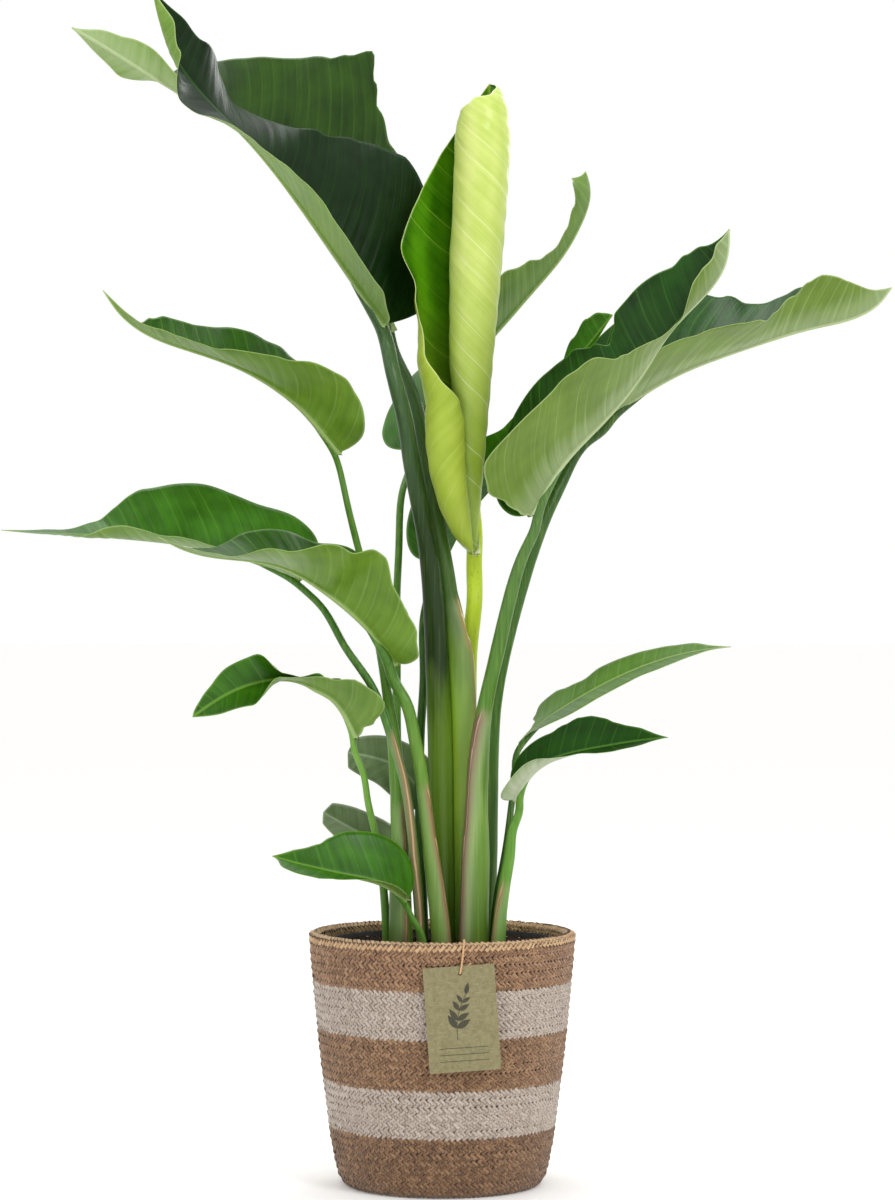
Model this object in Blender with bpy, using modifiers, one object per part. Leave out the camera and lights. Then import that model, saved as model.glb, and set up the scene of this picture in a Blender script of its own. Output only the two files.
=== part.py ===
# Potted bird of paradise standing in a striped jute basket, with its hang tag.
# Metres, +Z up. The origin is the middle of the basket's underside, and -Y is the front.
import math

import bmesh
import bpy
import numpy as np
from mathutils import Matrix, Vector

GAP = 0.0003  # clearance between pieces that touch on the real plant

# Basket: coiled and braided jute, (radius, height) of its outside from rim to floor
BASKET_OUTSIDE = [
    (0.1215, 0.2400), (0.1243, 0.2385), (0.1252, 0.2350), (0.1248, 0.2250), (0.1238, 0.2110),
    (0.1218, 0.1900), (0.1180, 0.1500), (0.1140, 0.1120), (0.1096, 0.0800), (0.1052, 0.0450),
    (0.1008, 0.0220), (0.0975, 0.0100), (0.0925, 0.0030), (0.0860, 0.0000),
]
BASKET_WALL = 0.0065
BASKET_FLOOR = 0.0060
BASKET_STEPS = 48

# Nursery pot: thin black plastic, standing inside the basket
POT_WALL = 0.0012
POT_BASE_RADIUS = 0.0830
POT_TOP_RADIUS = 0.1115
POT_TOP = 0.2315
POT_RIM_DROP = 0.0100
POT_RIM_OUT = 0.0025
POT_STEPS = 48
DRAIN_HOLES = 6
DRAIN_RADIUS = 0.0050
DRAIN_CIRCLE = 0.0580
DRAIN_STEPS = 16

# Potting soil: its top is a low heap around the stalks
SOIL_HEAP = 0.2300
SOIL_EDGE = 0.2270
SOIL_MID_RADIUS = 0.0600
SOIL_MID_DROP = 0.0020  # how far under the heap's top the soil is at that radius
STALK_FOOT = 0.2040  # how deep the stalks stand in the soil

# Hang tag: a plain card on a twine through the rim
TAG_WIDTH = 0.0660
TAG_HEIGHT = 0.0970
TAG_THICK = 0.0008
TAG_CENTRE = (0.0183, -0.1278, 0.1716)
TAG_TURN = math.radians(4.0)
TAG_HOLE = (0.0011, 0.0414)  # in the card's plane, from its centre
TAG_HOLE_RADIUS = 0.0017
TAG_HOLE_STEPS = 24
TWINE_RADIUS = 0.0010
TWINE_ROUTE = [
    (0.0215, -0.1135, 0.2225), (0.0212, -0.1137, 0.2290), (0.0208, -0.1140, 0.2362),
    (0.0204, -0.1156, 0.2415), (0.0202, -0.1200, 0.2430), (0.0200, -0.1243, 0.2420),
    (0.0198, -0.1265, 0.2380), (0.0194, -0.1272, 0.2330), (0.0188, -0.1278, 0.2270),
    (0.0180, -0.1296, 0.2215), (0.0173, -0.1302, 0.2170), (0.0168, -0.1298, 0.2140),
    (0.0166, -0.1278, 0.2131), (0.0170, -0.1260, 0.2142), (0.0195, -0.1256, 0.2165),
    (0.0230, -0.1258, 0.2195), (0.0268, -0.1262, 0.2225),
]
TWINE_POINTS = 40

# Leaves. A blade is a midrib (spine, base to tip) with a left and a right half, seen from the
# upper side with the tip ahead. At stations along the blade, faces is the way the upper side
# looks, and each half's angles in degrees say how it bends from the midrib out to its margin:
# 0 lies flat, 90 stands straight up, more curls over. A fourth number holds the bend back
# towards the margin. half is the greatest width of a half blade, wide_at where it lies, and
# tip and point round or sharpen the end. The stalk runs from under the blade down to the soil,
# and ease is the extra room left between a thick stalk and its midrib.
SHEET = 0.0012  # thickness of a blade
MIDRIB_BASE = 0.0042  # thickness of the midrib where the stalk joins it
DEFAULTS = {"wide_at": 0.30, "tip": 1.5, "point": 1.2, "lobe": 0.02, "sweep": 0.015}
FINE = {"rows": 15, "columns": 5}
PLAIN = {"rows": 11, "columns": 4}
SMALL = {"rows": 9, "columns": 3}
BIG_LEAVES = ("upper_left_front", "upper_left_back", "new_leaf", "right_near", "right_far")
SMALL_LEAVES = (
    "dark_back", "left_twisted", "low_back", "low_left_front", "low_left_back",
    "right_small_upper", "right_small_lower",
)
STALK_UNDER = 0.0020  # how far a stalk reaches under its blade
STALK_LEAD = 0.0120  # straight run of a stalk below its blade
ROD_FLAT = 0.92  # the flats of a stalk lie this share of its radius from its middle
STALK_STEP = 0.0300  # distance between a stalk's points

TIP_WIDTH = 0.7  # half width left at a blade's ends, as a share of its thickness
EVEN_BEND = 1.3  # how a half's bend is shared out where its station gives none
ROW_CROWDING = 1.25  # rows lie closer together towards the base
ROUTE_STEPS = 400  # steps that a route is measured in

# Colours, in linear values, and how matt each finish is
LEAF_GREEN = (0.030, 0.115, 0.014)
STALK_GREEN = (0.070, 0.190, 0.035)
NEW_LEAF_GREEN = (0.420, 0.600, 0.080)
NEW_STALK_GREEN = (0.250, 0.420, 0.060)
SOIL_BROWN = (0.012, 0.009, 0.007)
POT_BLACK = (0.010, 0.010, 0.010)
JUTE_BROWN = (0.420, 0.270, 0.150)
CARD_OLIVE = (0.340, 0.330, 0.180)
TWINE_TAN = (0.620, 0.400, 0.200)
LEAF_MATT = 0.45
STALK_MATT = 0.50
SOIL_MATT = 0.95
POT_MATT = 0.60
JUTE_MATT = 0.90
CARD_MATT = 0.85
TWINE_MATT = 0.90

LEAVES = {
    "upper_left_front": {
        "spine": [
            (-0.054, 0, 0.819), (-0.09, -0.022, 0.868), (-0.133, -0.035, 0.928),
            (-0.183, -0.042, 0.99), (-0.226, -0.05, 1.033), (-0.255, -0.06, 1.074),
            (-0.27, -0.075, 1.126),
        ],
        "faces": [
            (0, (0.5, -0.6, 0.4)), (0.5, (0.5, -0.65, 0.4)), (0.8, (0.6, -0.7, 0.2)),
            (1, (0.7, -0.7, 0)),
        ],
        "half": (0.1, 0.122),
        "tip": 1.3,
        "point": 1.15,
        "lobe": 0.035,
        "left": [
            (0, 60, 80), (0.3, 57, 62), (0.55, 46, 46), (0.7, 20, 30), (0.8, 25, 90),
            (0.92, 30, 125), (1, 30, 120),
        ],
        "right": [
            (0, 20, 40), (0.25, 14, 14), (0.45, 2, -2), (0.62, -25, -45), (0.78, -5, 0),
            (0.9, 10, 10), (1, 20, 20),
        ],
        "ease": 0.0003,
        "stalk": [
            (-0.049, 0.002, 0.776), (-0.037, 0.004, 0.728), (-0.031, 0.006, 0.69),
            (-0.017, 0.008, 0.614), (-0.01, 0.009, 0.537), (-0.007, 0.01, 0.461),
            (-0.005, 0.01, 0.385), (-0.002, 0.01, 0.226),
        ],
        "stalk_radius": [(0, 0.006), (0.3, 0.0075), (0.6, 0.0085), (1, 0.009)],
    },
    "upper_left_back": {
        "spine": [
            (-0.0464, 0.062, 0.8171), (-0.089, 0.096, 0.9006), (-0.1468, 0.122, 0.9771),
            (-0.2149, 0.131, 1.0303), (-0.2828, 0.121, 1.0708), (-0.3315, 0.111, 1.1003),
            (-0.3649, 0.106, 1.1195),
        ],
        "faces": [
            (0, (0.5, -0.5, 0.6)), (0.5, (0.35, -0.5, 0.8)), (0.7, (0.3, -0.3, 0.9)),
            (0.84, (0.2, 0.5, 0.8)), (1, (0.2, 0.8, 0.5)),
        ],
        "half": (0.065, 0.13),
        "tip": (1.5, 1.7),
        "point": 1.3,
        "lobe": 0.03,
        "left": [(0, 30, 50), (0.6, 25, 30), (0.72, 35, 40), (0.85, 55, 65), (1, 40, 50)],
        "right": [
            (0, -40, -60), (0.2, -30, -50), (0.34, 40, 52), (0.46, 58, 62), (0.58, 48, 52),
            (0.7, 30, 30), (0.85, 5, 5), (1, 10, 10),
        ],
        "ease": 0.0008,
        "stalk": [
            (-0.032, 0.053, 0.764), (-0.02, 0.045, 0.72), (-0.013, 0.038, 0.681),
            (-0.001, 0.026, 0.61), (0.008, 0.02, 0.556), (0.012, 0.016, 0.509),
            (0.015, 0.014, 0.461), (0.017, 0.013, 0.365), (0.019, 0.012, 0.226),
        ],
        "stalk_radius": [(0, 0.006), (0.4, 0.008), (1, 0.009)],
    },
    "new_leaf": {
        "greens": (NEW_LEAF_GREEN, NEW_STALK_GREEN),
        "spine": [
            (0.032, 0.036, 0.602), (0.032, 0.034, 0.68), (0.034, 0.033, 0.79),
            (0.039, 0.032, 0.9), (0.044, 0.03, 0.99), (0.045, 0.028, 1.052),
        ],
        "faces": [(0, (0.1, -1, 0)), (1, (0.1, -1, 0))],
        "half": (0.118, 0.124),
        "wide_at": (0.26, 0.8),
        "tip": (2, 3),
        "point": (1, 0.5),
        "lobe": (0.018, 0),
        "left": [
            (0, 5, 230, 1.6), (0.1, 5, 232, 1.7), (0.3, 5, 240, 1.9), (0.4, 5, 200, 2.2),
            (0.5, 15, 110, 2), (0.62, 10, 45, 1.5), (1, 10, 40, 1.5),
        ],
        "right": [(0, 40, 320), (0.3, 40, 315), (0.7, 40, 285), (1, 40, 270)],
        "ease": 0.0004,
        "stalk": [
            (0.031, 0.036, 0.556), (0.027, 0.036, 0.518), (0.025, 0.036, 0.461),
            (0.023, 0.035, 0.365), (0.022, 0.034, 0.226),
        ],
        "stalk_radius": [(0, 0.008), (1, 0.009)],
    },
    "upper_back": {
        "spine": [
            (-0.0295, 0.105, 0.7052), (0.0121, 0.118, 0.773), (0.0618, 0.128, 0.8318),
            (0.0922, 0.132, 0.8663), (0.1186, 0.134, 0.8977), (0.1378, 0.134, 0.9312),
            (0.1459, 0.134, 0.9626), (0.1419, 0.134, 0.9809),
        ],
        "faces": [(0, (-0.5, -0.6, 0.6)), (0.5, (-0.7, -0.3, 0.6)), (1, (-0.9, -0.4, 0.2))],
        "half": (0.078, 0.062),
        "tip": (1.6, 1.9),
        "point": (1.3, 0.9),
        "left": [(0, 5, 8), (0.3, 2, 2), (0.45, -12, -14), (1, -14, -16)],
        "right": [(0, 30, 45), (0.5, 42, 58), (0.7, 50, 62), (1, 40, 60)],
        "ease": 0.0003,
        "stalk": [
            (-0.0394, 0.084, 0.661), (-0.0422, 0.063, 0.6103), (-0.0442, 0.052, 0.56),
            (-0.0441, 0.044, 0.4999), (-0.0441, 0.036, 0.4399), (-0.042, 0.028, 0.36),
            (-0.04, 0.022, 0.226),
        ],
        "stalk_radius": [(0, 0.0035), (1, 0.005)],
    },
    "dark_back": {
        "spine": [
            (-0.0101, 0.067, 0.5963), (0.011, 0.088, 0.6508), (0.0443, 0.103, 0.6931),
            (0.0877, 0.116, 0.7445), (0.132, 0.123, 0.7939), (0.1683, 0.126, 0.8383),
        ],
        "faces": [(0, (-0.4, -0.6, 0.6)), (1, (-0.5, -0.6, 0.5))],
        "half": (0.055, 0.045),
        "left": [(0, 10, 20), (1, 10, 20)],
        "right": [(0, 10, 20), (1, 10, 20)],
        "ease": 0.0003,
        "stalk": [
            (-0.0181, 0.058, 0.5399), (-0.0181, 0.05, 0.4898), (-0.021, 0.043, 0.4299),
            (-0.022, 0.037, 0.36), (-0.018, 0.034, 0.226),
        ],
        "stalk_radius": [(0, 0.0038), (1, 0.0055)],
    },
    "right_near": {
        "spine": [
            (0.084, -0.022, 0.638), (0.113, -0.03, 0.685), (0.151, -0.036, 0.725),
            (0.189, -0.04, 0.771), (0.217, -0.043, 0.812), (0.246, -0.045, 0.842),
            (0.266, -0.047, 0.872), (0.27, -0.048, 0.905),
        ],
        "faces": [(0, (-0.78, -0.1, 0.62)), (1, (-0.8, -0.1, 0.5))],
        "half": (0.085, 0.09),
        "tip": (2, 1.7),
        "lobe": 0.03,
        "left": [
            (0, 20, 30), (0.15, 30, 35), (0.3, 42, 46), (0.5, 50, 56), (0.7, 62, 66),
            (1, 75, 75),
        ],
        "right": [
            (0, 45, 60), (0.15, 42, 52), (0.3, 34, 42), (0.48, 22, 28), (0.64, 4, 6),
            (0.8, 30, 44), (1, 50, 60),
        ],
        "ease": 0.0003,
        "stalk": [
            (0.074, -0.022, 0.604), (0.063, -0.021, 0.568), (0.052, -0.02, 0.518),
            (0.045, -0.019, 0.48), (0.038, -0.018, 0.442), (0.033, -0.018, 0.385),
            (0.031, -0.018, 0.308), (0.029, -0.018, 0.226),
        ],
        "stalk_radius": [(0, 0.0055), (0.35, 0.0065), (0.6, 0.011), (0.8, 0.0145), (1, 0.0155)],
    },
    "right_far": {
        "spine": [
            (0.158, 0.045, 0.732), (0.192, 0.052, 0.756), (0.234, 0.055, 0.779),
            (0.273, 0.055, 0.794), (0.316, 0.052, 0.808), (0.36, 0.048, 0.82),
            (0.398, 0.045, 0.829), (0.421, 0.043, 0.842), (0.434, 0.042, 0.858),
        ],
        "faces": [(0, (-0.4, 0, 0.9)), (1, (-0.3, 0, 0.9))],
        "half": 0.08,
        "tip": 2.5,
        "point": 1,
        "left": [
            (0, 45, 55), (0.3, 50, 60), (0.45, 36, 40), (0.55, 30, 34), (0.7, 40, 44),
            (1, 30, 30),
        ],
        "right": [
            (0, 16, 24), (0.35, 14, 20), (0.5, 8, 12), (0.66, 36, 44), (0.8, 40, 50),
            (1, 40, 60),
        ],
        "stalk": [
            (0.141, 0.04, 0.709), (0.118, 0.03, 0.673), (0.101, 0.02, 0.637),
            (0.085, 0.014, 0.594), (0.071, 0.012, 0.547), (0.059, 0.012, 0.499),
            (0.052, 0.014, 0.461), (0.048, 0.018, 0.404), (0.046, 0.02, 0.318),
            (0.043, 0.022, 0.226),
        ],
        "stalk_radius": [(0, 0.0042), (0.4, 0.0055), (1, 0.008)],
    },
    "left_upper": {
        "spine": [
            (-0.098, -0.02, 0.696), (-0.112, -0.032, 0.714), (-0.131, -0.04, 0.736),
            (-0.156, -0.047, 0.756), (-0.193, -0.052, 0.776), (-0.24, -0.055, 0.792),
            (-0.277, -0.057, 0.806), (-0.302, -0.06, 0.825), (-0.317, -0.065, 0.846),
        ],
        "faces": [(0, (0.4, -0.2, 0.9)), (1, (0.3, 0, 0.9))],
        "half": 0.062,
        "lobe": 0.008,
        "left": [
            (0, 60, 85), (0.15, 58, 80), (0.35, 25, 34), (0.5, 10, 16), (0.7, 12, 22),
            (1, 20, 30),
        ],
        "right": [
            (0, 20, 20), (0.35, 28, 28), (0.5, 38, 40), (0.65, 38, 42), (0.78, 44, 50),
            (0.86, 15, 15), (1, 10, 10),
        ],
        "stalk": [
            (-0.091, -0.014, 0.652), (-0.081, -0.006, 0.61), (-0.07, -0.004, 0.566),
            (-0.061, -0.003, 0.518), (-0.053, -0.005, 0.47), (-0.046, -0.008, 0.423),
            (-0.041, -0.012, 0.35), (-0.039, -0.012, 0.226),
        ],
        "stalk_radius": [(0, 0.0033), (0.4, 0.0042), (0.65, 0.008), (1, 0.0125)],
    },
    "left_mid_far": {
        "spine": [
            (-0.137, -0.004, 0.577), (-0.178, 0.002, 0.594), (-0.222, 0.004, 0.606),
            (-0.269, 0.002, 0.613), (-0.317, 0, 0.617), (-0.365, -0.003, 0.62),
            (-0.393, -0.005, 0.621), (-0.42, -0.007, 0.623),
        ],
        "faces": [(0, (0.2, 0, 1)), (1, (0.1, 0, 1))],
        "half": (0.058, 0.068),
        "left": [
            (0, -5, 10), (0.4, -8, 20), (0.55, -12, 50), (0.7, -14, 10), (0.85, -10, 0),
            (1, 0, 0),
        ],
        "right": [
            (0, 36, 50), (0.25, 48, 56), (0.55, 56, 66), (0.66, 30, 36), (0.8, 12, 14),
            (1, 8, 8),
        ],
        "stalk": [
            (-0.115, -0.007, 0.55), (-0.093, -0.013, 0.513), (-0.067, -0.021, 0.475),
            (-0.05, -0.029, 0.432), (-0.036, -0.031, 0.385), (-0.028, -0.027, 0.33),
            (-0.0235, -0.018, 0.285), (-0.019, -0.012, 0.226),
        ],
        "stalk_radius": [(0, 0.0038), (0.5, 0.0045), (1, 0.0053)],
    },
    "left_mid_near": {
        "spine": [
            (-0.044, -0.022, 0.497), (-0.065, -0.035, 0.525), (-0.084, -0.046, 0.544),
            (-0.112, -0.06, 0.566), (-0.149, -0.075, 0.587), (-0.186, -0.085, 0.594),
            (-0.216, -0.092, 0.597), (-0.244, -0.097, 0.605), (-0.263, -0.1, 0.615),
        ],
        "faces": [(0, (0.4, -0.3, 0.9)), (1, (0.1, 0, 1))],
        "half": 0.072,
        "lobe": 0.008,
        "left": [
            (0, 25, 35), (0.1, 32, 42), (0.2, 50, 60), (0.32, 62, 74), (0.42, 34, 44),
            (0.55, 14, 20), (0.7, 5, 10), (1, 10, 10),
        ],
        "right": [
            (0, 50, 60), (0.2, 54, 62), (0.32, 44, 50), (0.45, 24, 28), (0.6, 26, 30),
            (0.75, 12, 12), (1, 10, 10),
        ],
        "ease": 0.0004,
        "stalk": [
            (-0.035, -0.022, 0.461), (-0.027, -0.022, 0.432), (-0.02, -0.022, 0.394),
            (-0.014, -0.022, 0.346), (-0.008, -0.022, 0.299), (-0.002, -0.022, 0.251),
            (0, -0.022, 0.226),
        ],
        "stalk_radius": [(0, 0.006), (0.4, 0.007), (1, 0.0105)],
    },
    "left_twisted": {
        "spine": [
            (-0.081, -0.01, 0.426), (-0.089, -0.014, 0.443), (-0.097, -0.018, 0.456),
            (-0.105, -0.021, 0.464), (-0.12, -0.025, 0.472), (-0.135, -0.028, 0.479),
            (-0.164, -0.033, 0.48), (-0.197, -0.038, 0.47), (-0.235, -0.044, 0.446),
        ],
        "faces": [
            (0, (0.5, -0.3, 0.8)), (0.3, (0.4, -0.5, 0.7)), (0.46, (0, -1, 0.15)),
            (1, (0, -1, 0.2)),
        ],
        "half": 0.037,
        "tip": 2.2,
        "point": 1,
        "lobe": 0.006,
        "left": [
            (0, 70, 85), (0.3, 70, 80), (0.43, 84, 90), (0.47, 84, 90), (0.62, 40, 45),
            (1, 30, 30),
        ],
        "right": [
            (0, 10, 10), (0.28, 20, 20), (0.43, 84, 90), (0.47, 84, 90), (0.62, 10, 5),
            (1, 5, 5),
        ],
        "stalk": [
            (-0.076, -0.008, 0.394), (-0.071, -0.006, 0.366), (-0.066, -0.003, 0.343),
            (-0.061, 0.001, 0.318), (-0.057, 0.006, 0.289), (-0.054, 0.009, 0.251),
            (-0.053, 0.01, 0.226),
        ],
        "stalk_radius": [(0, 0.0033), (1, 0.0045)],
    },
    "low_back": {
        "spine": [
            (-0.022, 0.05, 0.372), (-0.04, 0.058, 0.392), (-0.062, 0.062, 0.402),
            (-0.092, 0.064, 0.408),
        ],
        "faces": [(0, (0, -0.7, 0.7)), (1, (0, -0.7, 0.7))],
        "half": 0.03,
        "tip": 2.5,
        "point": 0.9,
        "left": [(0, 0, 0), (1, 0, 0)],
        "right": [(0, 0, 0), (1, 0, 0)],
        "stalk": [(-0.02, 0.05, 0.34), (-0.02, 0.05, 0.29), (-0.02, 0.05, 0.226)],
        "stalk_radius": [(0, 0.003), (1, 0.004)],
    },
    "low_left_front": {
        "spine": [
            (-0.033, -0.048, 0.274), (-0.044, -0.056, 0.284), (-0.058, -0.063, 0.292),
            (-0.076, -0.068, 0.297), (-0.1, -0.073, 0.302), (-0.124, -0.078, 0.308),
            (-0.143, -0.081, 0.313), (-0.158, -0.083, 0.318),
        ],
        "faces": [(0, (0.1, -0.1, 1)), (1, (0.1, -0.1, 1))],
        "half": 0.04,
        "lobe": 0.006,
        "left": [(0, 16, 12), (0.2, 14, 10), (0.45, 0, -6), (1, -8, -12)],
        "right": [(0, 45, 55), (0.5, 48, 56), (1, 35, 40)],
        "stalk": [(-0.026, -0.045, 0.253), (-0.019, -0.042, 0.239), (-0.017, -0.04, 0.226)],
        "stalk_radius": [(0, 0.003), (1, 0.004)],
    },
    "low_left_back": {
        "spine": [
            (-0.046, 0.047, 0.309), (-0.057, 0.048, 0.319), (-0.079, 0.048, 0.331),
            (-0.115, 0.046, 0.351),
        ],
        "faces": [(0, (0.2, -0.5, 0.9)), (1, (0.2, -0.5, 0.9))],
        "half": 0.03,
        "tip": 2.2,
        "point": 1,
        "left": [(0, 0, 0), (1, 0, 0)],
        "right": [(0, 10, 10), (1, 10, 10)],
        "stalk": [(-0.038, 0.044, 0.275), (-0.034, 0.04, 0.226)],
        "stalk_radius": [(0, 0.003), (1, 0.0035)],
    },
    "right_small_upper": {
        "spine": [
            (0.072, 0.004, 0.42), (0.089, 0, 0.436), (0.107, -0.004, 0.449),
            (0.151, -0.01, 0.475), (0.198, -0.014, 0.496), (0.237, -0.017, 0.507),
            (0.274, -0.02, 0.512),
        ],
        "faces": [(0, (-0.5, 0, 0.8)), (1, (-0.2, 0, 0.95))],
        "half": 0.033,
        "lobe": 0.006,
        "left": [
            (0, 10, 15), (0.15, 15, 20), (0.3, 28, 34), (0.5, 36, 40), (0.8, 30, 30),
            (1, 25, 25),
        ],
        "right": [(0, -5, -10), (0.3, -15, -18), (0.6, -14, -16), (1, -5, -5)],
        "stalk": [
            (0.069, 0.003, 0.39), (0.066, 0.002, 0.362), (0.063, 0.001, 0.337),
            (0.059, 0, 0.31), (0.052, -0.001, 0.27), (0.048, -0.001, 0.226),
        ],
        "stalk_radius": [(0, 0.0033), (1, 0.0045)],
    },
    "right_small_lower": {
        "spine": [
            (0.069, -0.03, 0.368), (0.076, -0.04, 0.384), (0.091, -0.048, 0.4),
            (0.115, -0.055, 0.411), (0.151, -0.062, 0.419), (0.187, -0.068, 0.425),
            (0.211, -0.072, 0.428),
        ],
        "faces": [(0, (-0.4, -0.1, 0.9)), (1, (-0.1, -0.1, 0.9))],
        "half": 0.036,
        "lobe": 0.012,
        "left": [(0, 40, 50), (0.4, 50, 55), (0.7, 45, 45), (1, 30, 30)],
        "right": [(0, 30, 42), (0.25, 22, 30), (0.45, 0, 0), (0.6, -8, -10), (1, -5, -5)],
        "stalk": [
            (0.067, -0.029, 0.34), (0.064, -0.028, 0.318), (0.061, -0.027, 0.299),
            (0.055, -0.026, 0.26), (0.052, -0.026, 0.226),
        ],
        "stalk_radius": [(0, 0.004), (0.5, 0.006), (1, 0.008)],
    },
}


def smooth_route(points, shares):
    """Natural cubic spline through points, at shares of its length, and that length."""
    p = np.array(points, float)
    knots = np.concatenate([[0.0], np.cumsum(np.linalg.norm(np.diff(p, axis=0), axis=1))])
    step = np.diff(knots)
    count = len(p)
    system = np.eye(count)
    pull = np.zeros_like(p)
    for i in range(1, count - 1):
        system[i, i - 1 : i + 2] = step[i - 1], 2 * (step[i - 1] + step[i]), step[i]
        pull[i] = 6 * ((p[i + 1] - p[i]) / step[i] - (p[i] - p[i - 1]) / step[i - 1])
    bend = np.linalg.solve(system, pull)

    def at(where):
        i = np.clip(np.searchsorted(knots, where, side="right") - 1, 0, count - 2)
        h = step[i][:, None]
        before = (knots[i + 1] - where)[:, None] / h
        after = 1 - before
        curve = (before**3 - before) * bend[i] + (after**3 - after) * bend[i + 1]
        return before * p[i] + after * p[i + 1] + curve * h**2 / 6

    dense = np.linspace(0, knots[-1], ROUTE_STEPS)
    run = np.linalg.norm(np.diff(at(dense), axis=0), axis=1)
    run = np.concatenate([[0.0], np.cumsum(run)])
    return at(np.interp(np.array(shares) * run[-1], run, dense)), run[-1]


def between(stations, u):
    """Eased values at u from stations of (place, values...)."""
    place = np.array([row[0] for row in stations], float)
    values = np.array([row[1:] for row in stations], float)
    i = np.clip(np.searchsorted(place, u, side="right") - 1, 0, len(place) - 2)
    f = np.clip((u - place[i]) / (place[i + 1] - place[i]), 0, 1)
    f = (f * f * (3 - 2 * f))[:, None]
    return values[i] * (1 - f) + values[i + 1] * f


def unit(rows):
    return rows / np.linalg.norm(rows, axis=1)[:, None]


def blade_frame(leaf, u):
    """Midrib points, forward, upper side and right-hand directions, and the midrib's length."""
    mid, length = smooth_route(leaf["spine"], u)
    ahead = unit(np.gradient(mid, u * length, axis=0))
    up = between([(place, *side) for place, side in leaf["faces"]], u)
    up = unit(up - (up * ahead).sum(axis=1)[:, None] * ahead)
    return mid, ahead, up, np.cross(ahead, up), length


def blade_grid(leaf, detail):
    """Points of the upper side, as rows from base to tip and columns from left to right."""
    u = np.linspace(0, 1, detail["rows"]) ** ROW_CROWDING
    s = np.linspace(0, 1, detail["columns"] + 1)
    mid, ahead, up, right, length = blade_frame(leaf, u)
    halves = []
    for k, (side, sign) in enumerate((("left", -1), ("right", 1))):
        values = {**DEFAULTS, **leaf}
        values = {key: v[k] if isinstance(v, tuple) else v for key, v in values.items()}
        wide = values["wide_at"]
        turn = math.pi / 2 * np.clip(u / wide, 0, 1)
        rest = np.clip((u - wide) / (1 - wide), 0, 1)
        outline = (1 - rest ** values["tip"]) ** values["point"]
        width = np.where(u < wide, np.sin(turn), outline) * values["half"]
        width = width + SHEET * TIP_WIDTH
        bend = between([row if len(row) == 4 else (*row, EVEN_BEND) for row in leaf[side]], u)
        inner, outer = np.radians(bend[:, :1]), np.radians(bend[:, 1:2])
        angle = inner + (outer - inner) * s ** bend[:, 2:]
        out = np.cos(angle)
        rise = np.sin(angle)
        zero = np.zeros((len(u), 1))
        out = np.hstack([zero, np.cumsum((out[:, 1:] + out[:, :-1]) / 2 * np.diff(s), axis=1)])
        rise = np.hstack([zero, np.cumsum((rise[:, 1:] + rise[:, :-1]) / 2 * np.diff(s), axis=1)])
        lobe = length * wide * (1 - np.cos(turn)) - values["lobe"] * np.sin(2 * turn) - length * u
        sweep = values["sweep"] * np.clip(4 * rest, 0, 1) * np.clip(3 - 3 * rest, 0, 1)
        along = (np.where(u < wide, lobe, 0) + sweep)[:, None] * s**EVEN_BEND
        points = mid[:, None] + ahead[:, None] * along[..., None]
        points = points + right[:, None] * (sign * out * width[:, None])[..., None]
        halves.append(points + up[:, None] * (rise * width[:, None])[..., None])
    return np.hstack([halves[0][:, ::-1], halves[1][:, 1:]])


def stalk_route(leaf):
    """The stalk's route, which begins under the midrib and ends in the soil, and its radii."""
    mid, ahead, up, _, _ = blade_frame(leaf, np.array([0, 0.02]))
    radius = leaf["stalk_radius"][0][1]
    drop = MIDRIB_BASE + GAP + leaf.get("ease", 0) + radius * ROD_FLAT
    top = mid[0] - up[0] * drop + ahead[0] * STALK_UNDER
    below = top - ahead[0] * STALK_LEAD
    foot = np.array(leaf["stalk"][-1])
    last = np.array(leaf["stalk"][-2])
    deep = foot + (foot - last) * (STALK_FOOT - foot[2]) / (foot[2] - last[2])
    return [top, below, *leaf["stalk"], deep], leaf["stalk_radius"]


def add_object(name, data, collection):
    obj = bpy.data.objects.new(name, data)
    collection.objects.link(obj)
    return obj


def paint(obj, colour, roughness):
    """Gives the object its own material; colour is (red, green, blue) in linear values."""
    material = bpy.data.materials.new(obj.name)
    material.use_nodes = True
    shader = material.node_tree.nodes["Principled BSDF"]
    shader.inputs["Base Color"].default_value = (*colour, 1.0)
    shader.inputs["Roughness"].default_value = roughness
    shader.inputs["Metallic"].default_value = 0.0
    material.diffuse_color = (*colour, 1.0)
    obj.data.materials.clear()
    obj.data.materials.append(material)


def add_blade(name, leaf, detail, collection):
    """Lofts one blade and thickens it towards its underside, most at the midrib's base."""
    grid = blade_grid(leaf, detail)
    rows, columns = grid.shape[:2]
    mesh = bpy.data.meshes.new(name)
    faces = []
    for i in range(rows - 1):
        for j in range(columns - 1):
            a = i * columns + j
            faces.append((a, a + 1, a + 1 + columns, a + columns))
    mesh.from_pydata(grid.reshape(-1, 3).tolist(), [], faces)
    blade = add_object(name, mesh, collection)
    midrib = blade.vertex_groups.new(name="midrib")
    for i in range(rows):
        fade = 1 - i / (rows - 1)
        for j in range(columns):
            on_midrib = 1.0 if j == columns // 2 else 0.0
            share = SHEET / MIDRIB_BASE
            midrib.add([i * columns + j], share + (1 - share) * fade * on_midrib, "REPLACE")
    solid = blade.modifiers.new("thickness", "SOLIDIFY")
    solid.thickness = MIDRIB_BASE
    solid.offset = -1.0
    solid.vertex_group = midrib.name
    mesh.shade_smooth()
    return blade


def tube_curve(name, points, radii):
    """A round rod along points, with a radius at each."""
    data = bpy.data.curves.new(name, "CURVE")
    data.dimensions = "3D"
    data.bevel_depth = 1.0
    data.bevel_resolution = 2
    data.use_fill_caps = True
    data.resolution_u = 1
    spline = data.splines.new("POLY")
    spline.points.add(len(points) - 1)
    for point, place, radius in zip(spline.points, points, radii):
        point.co = (*place, 1.0)
        point.radius = radius
    return data


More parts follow.
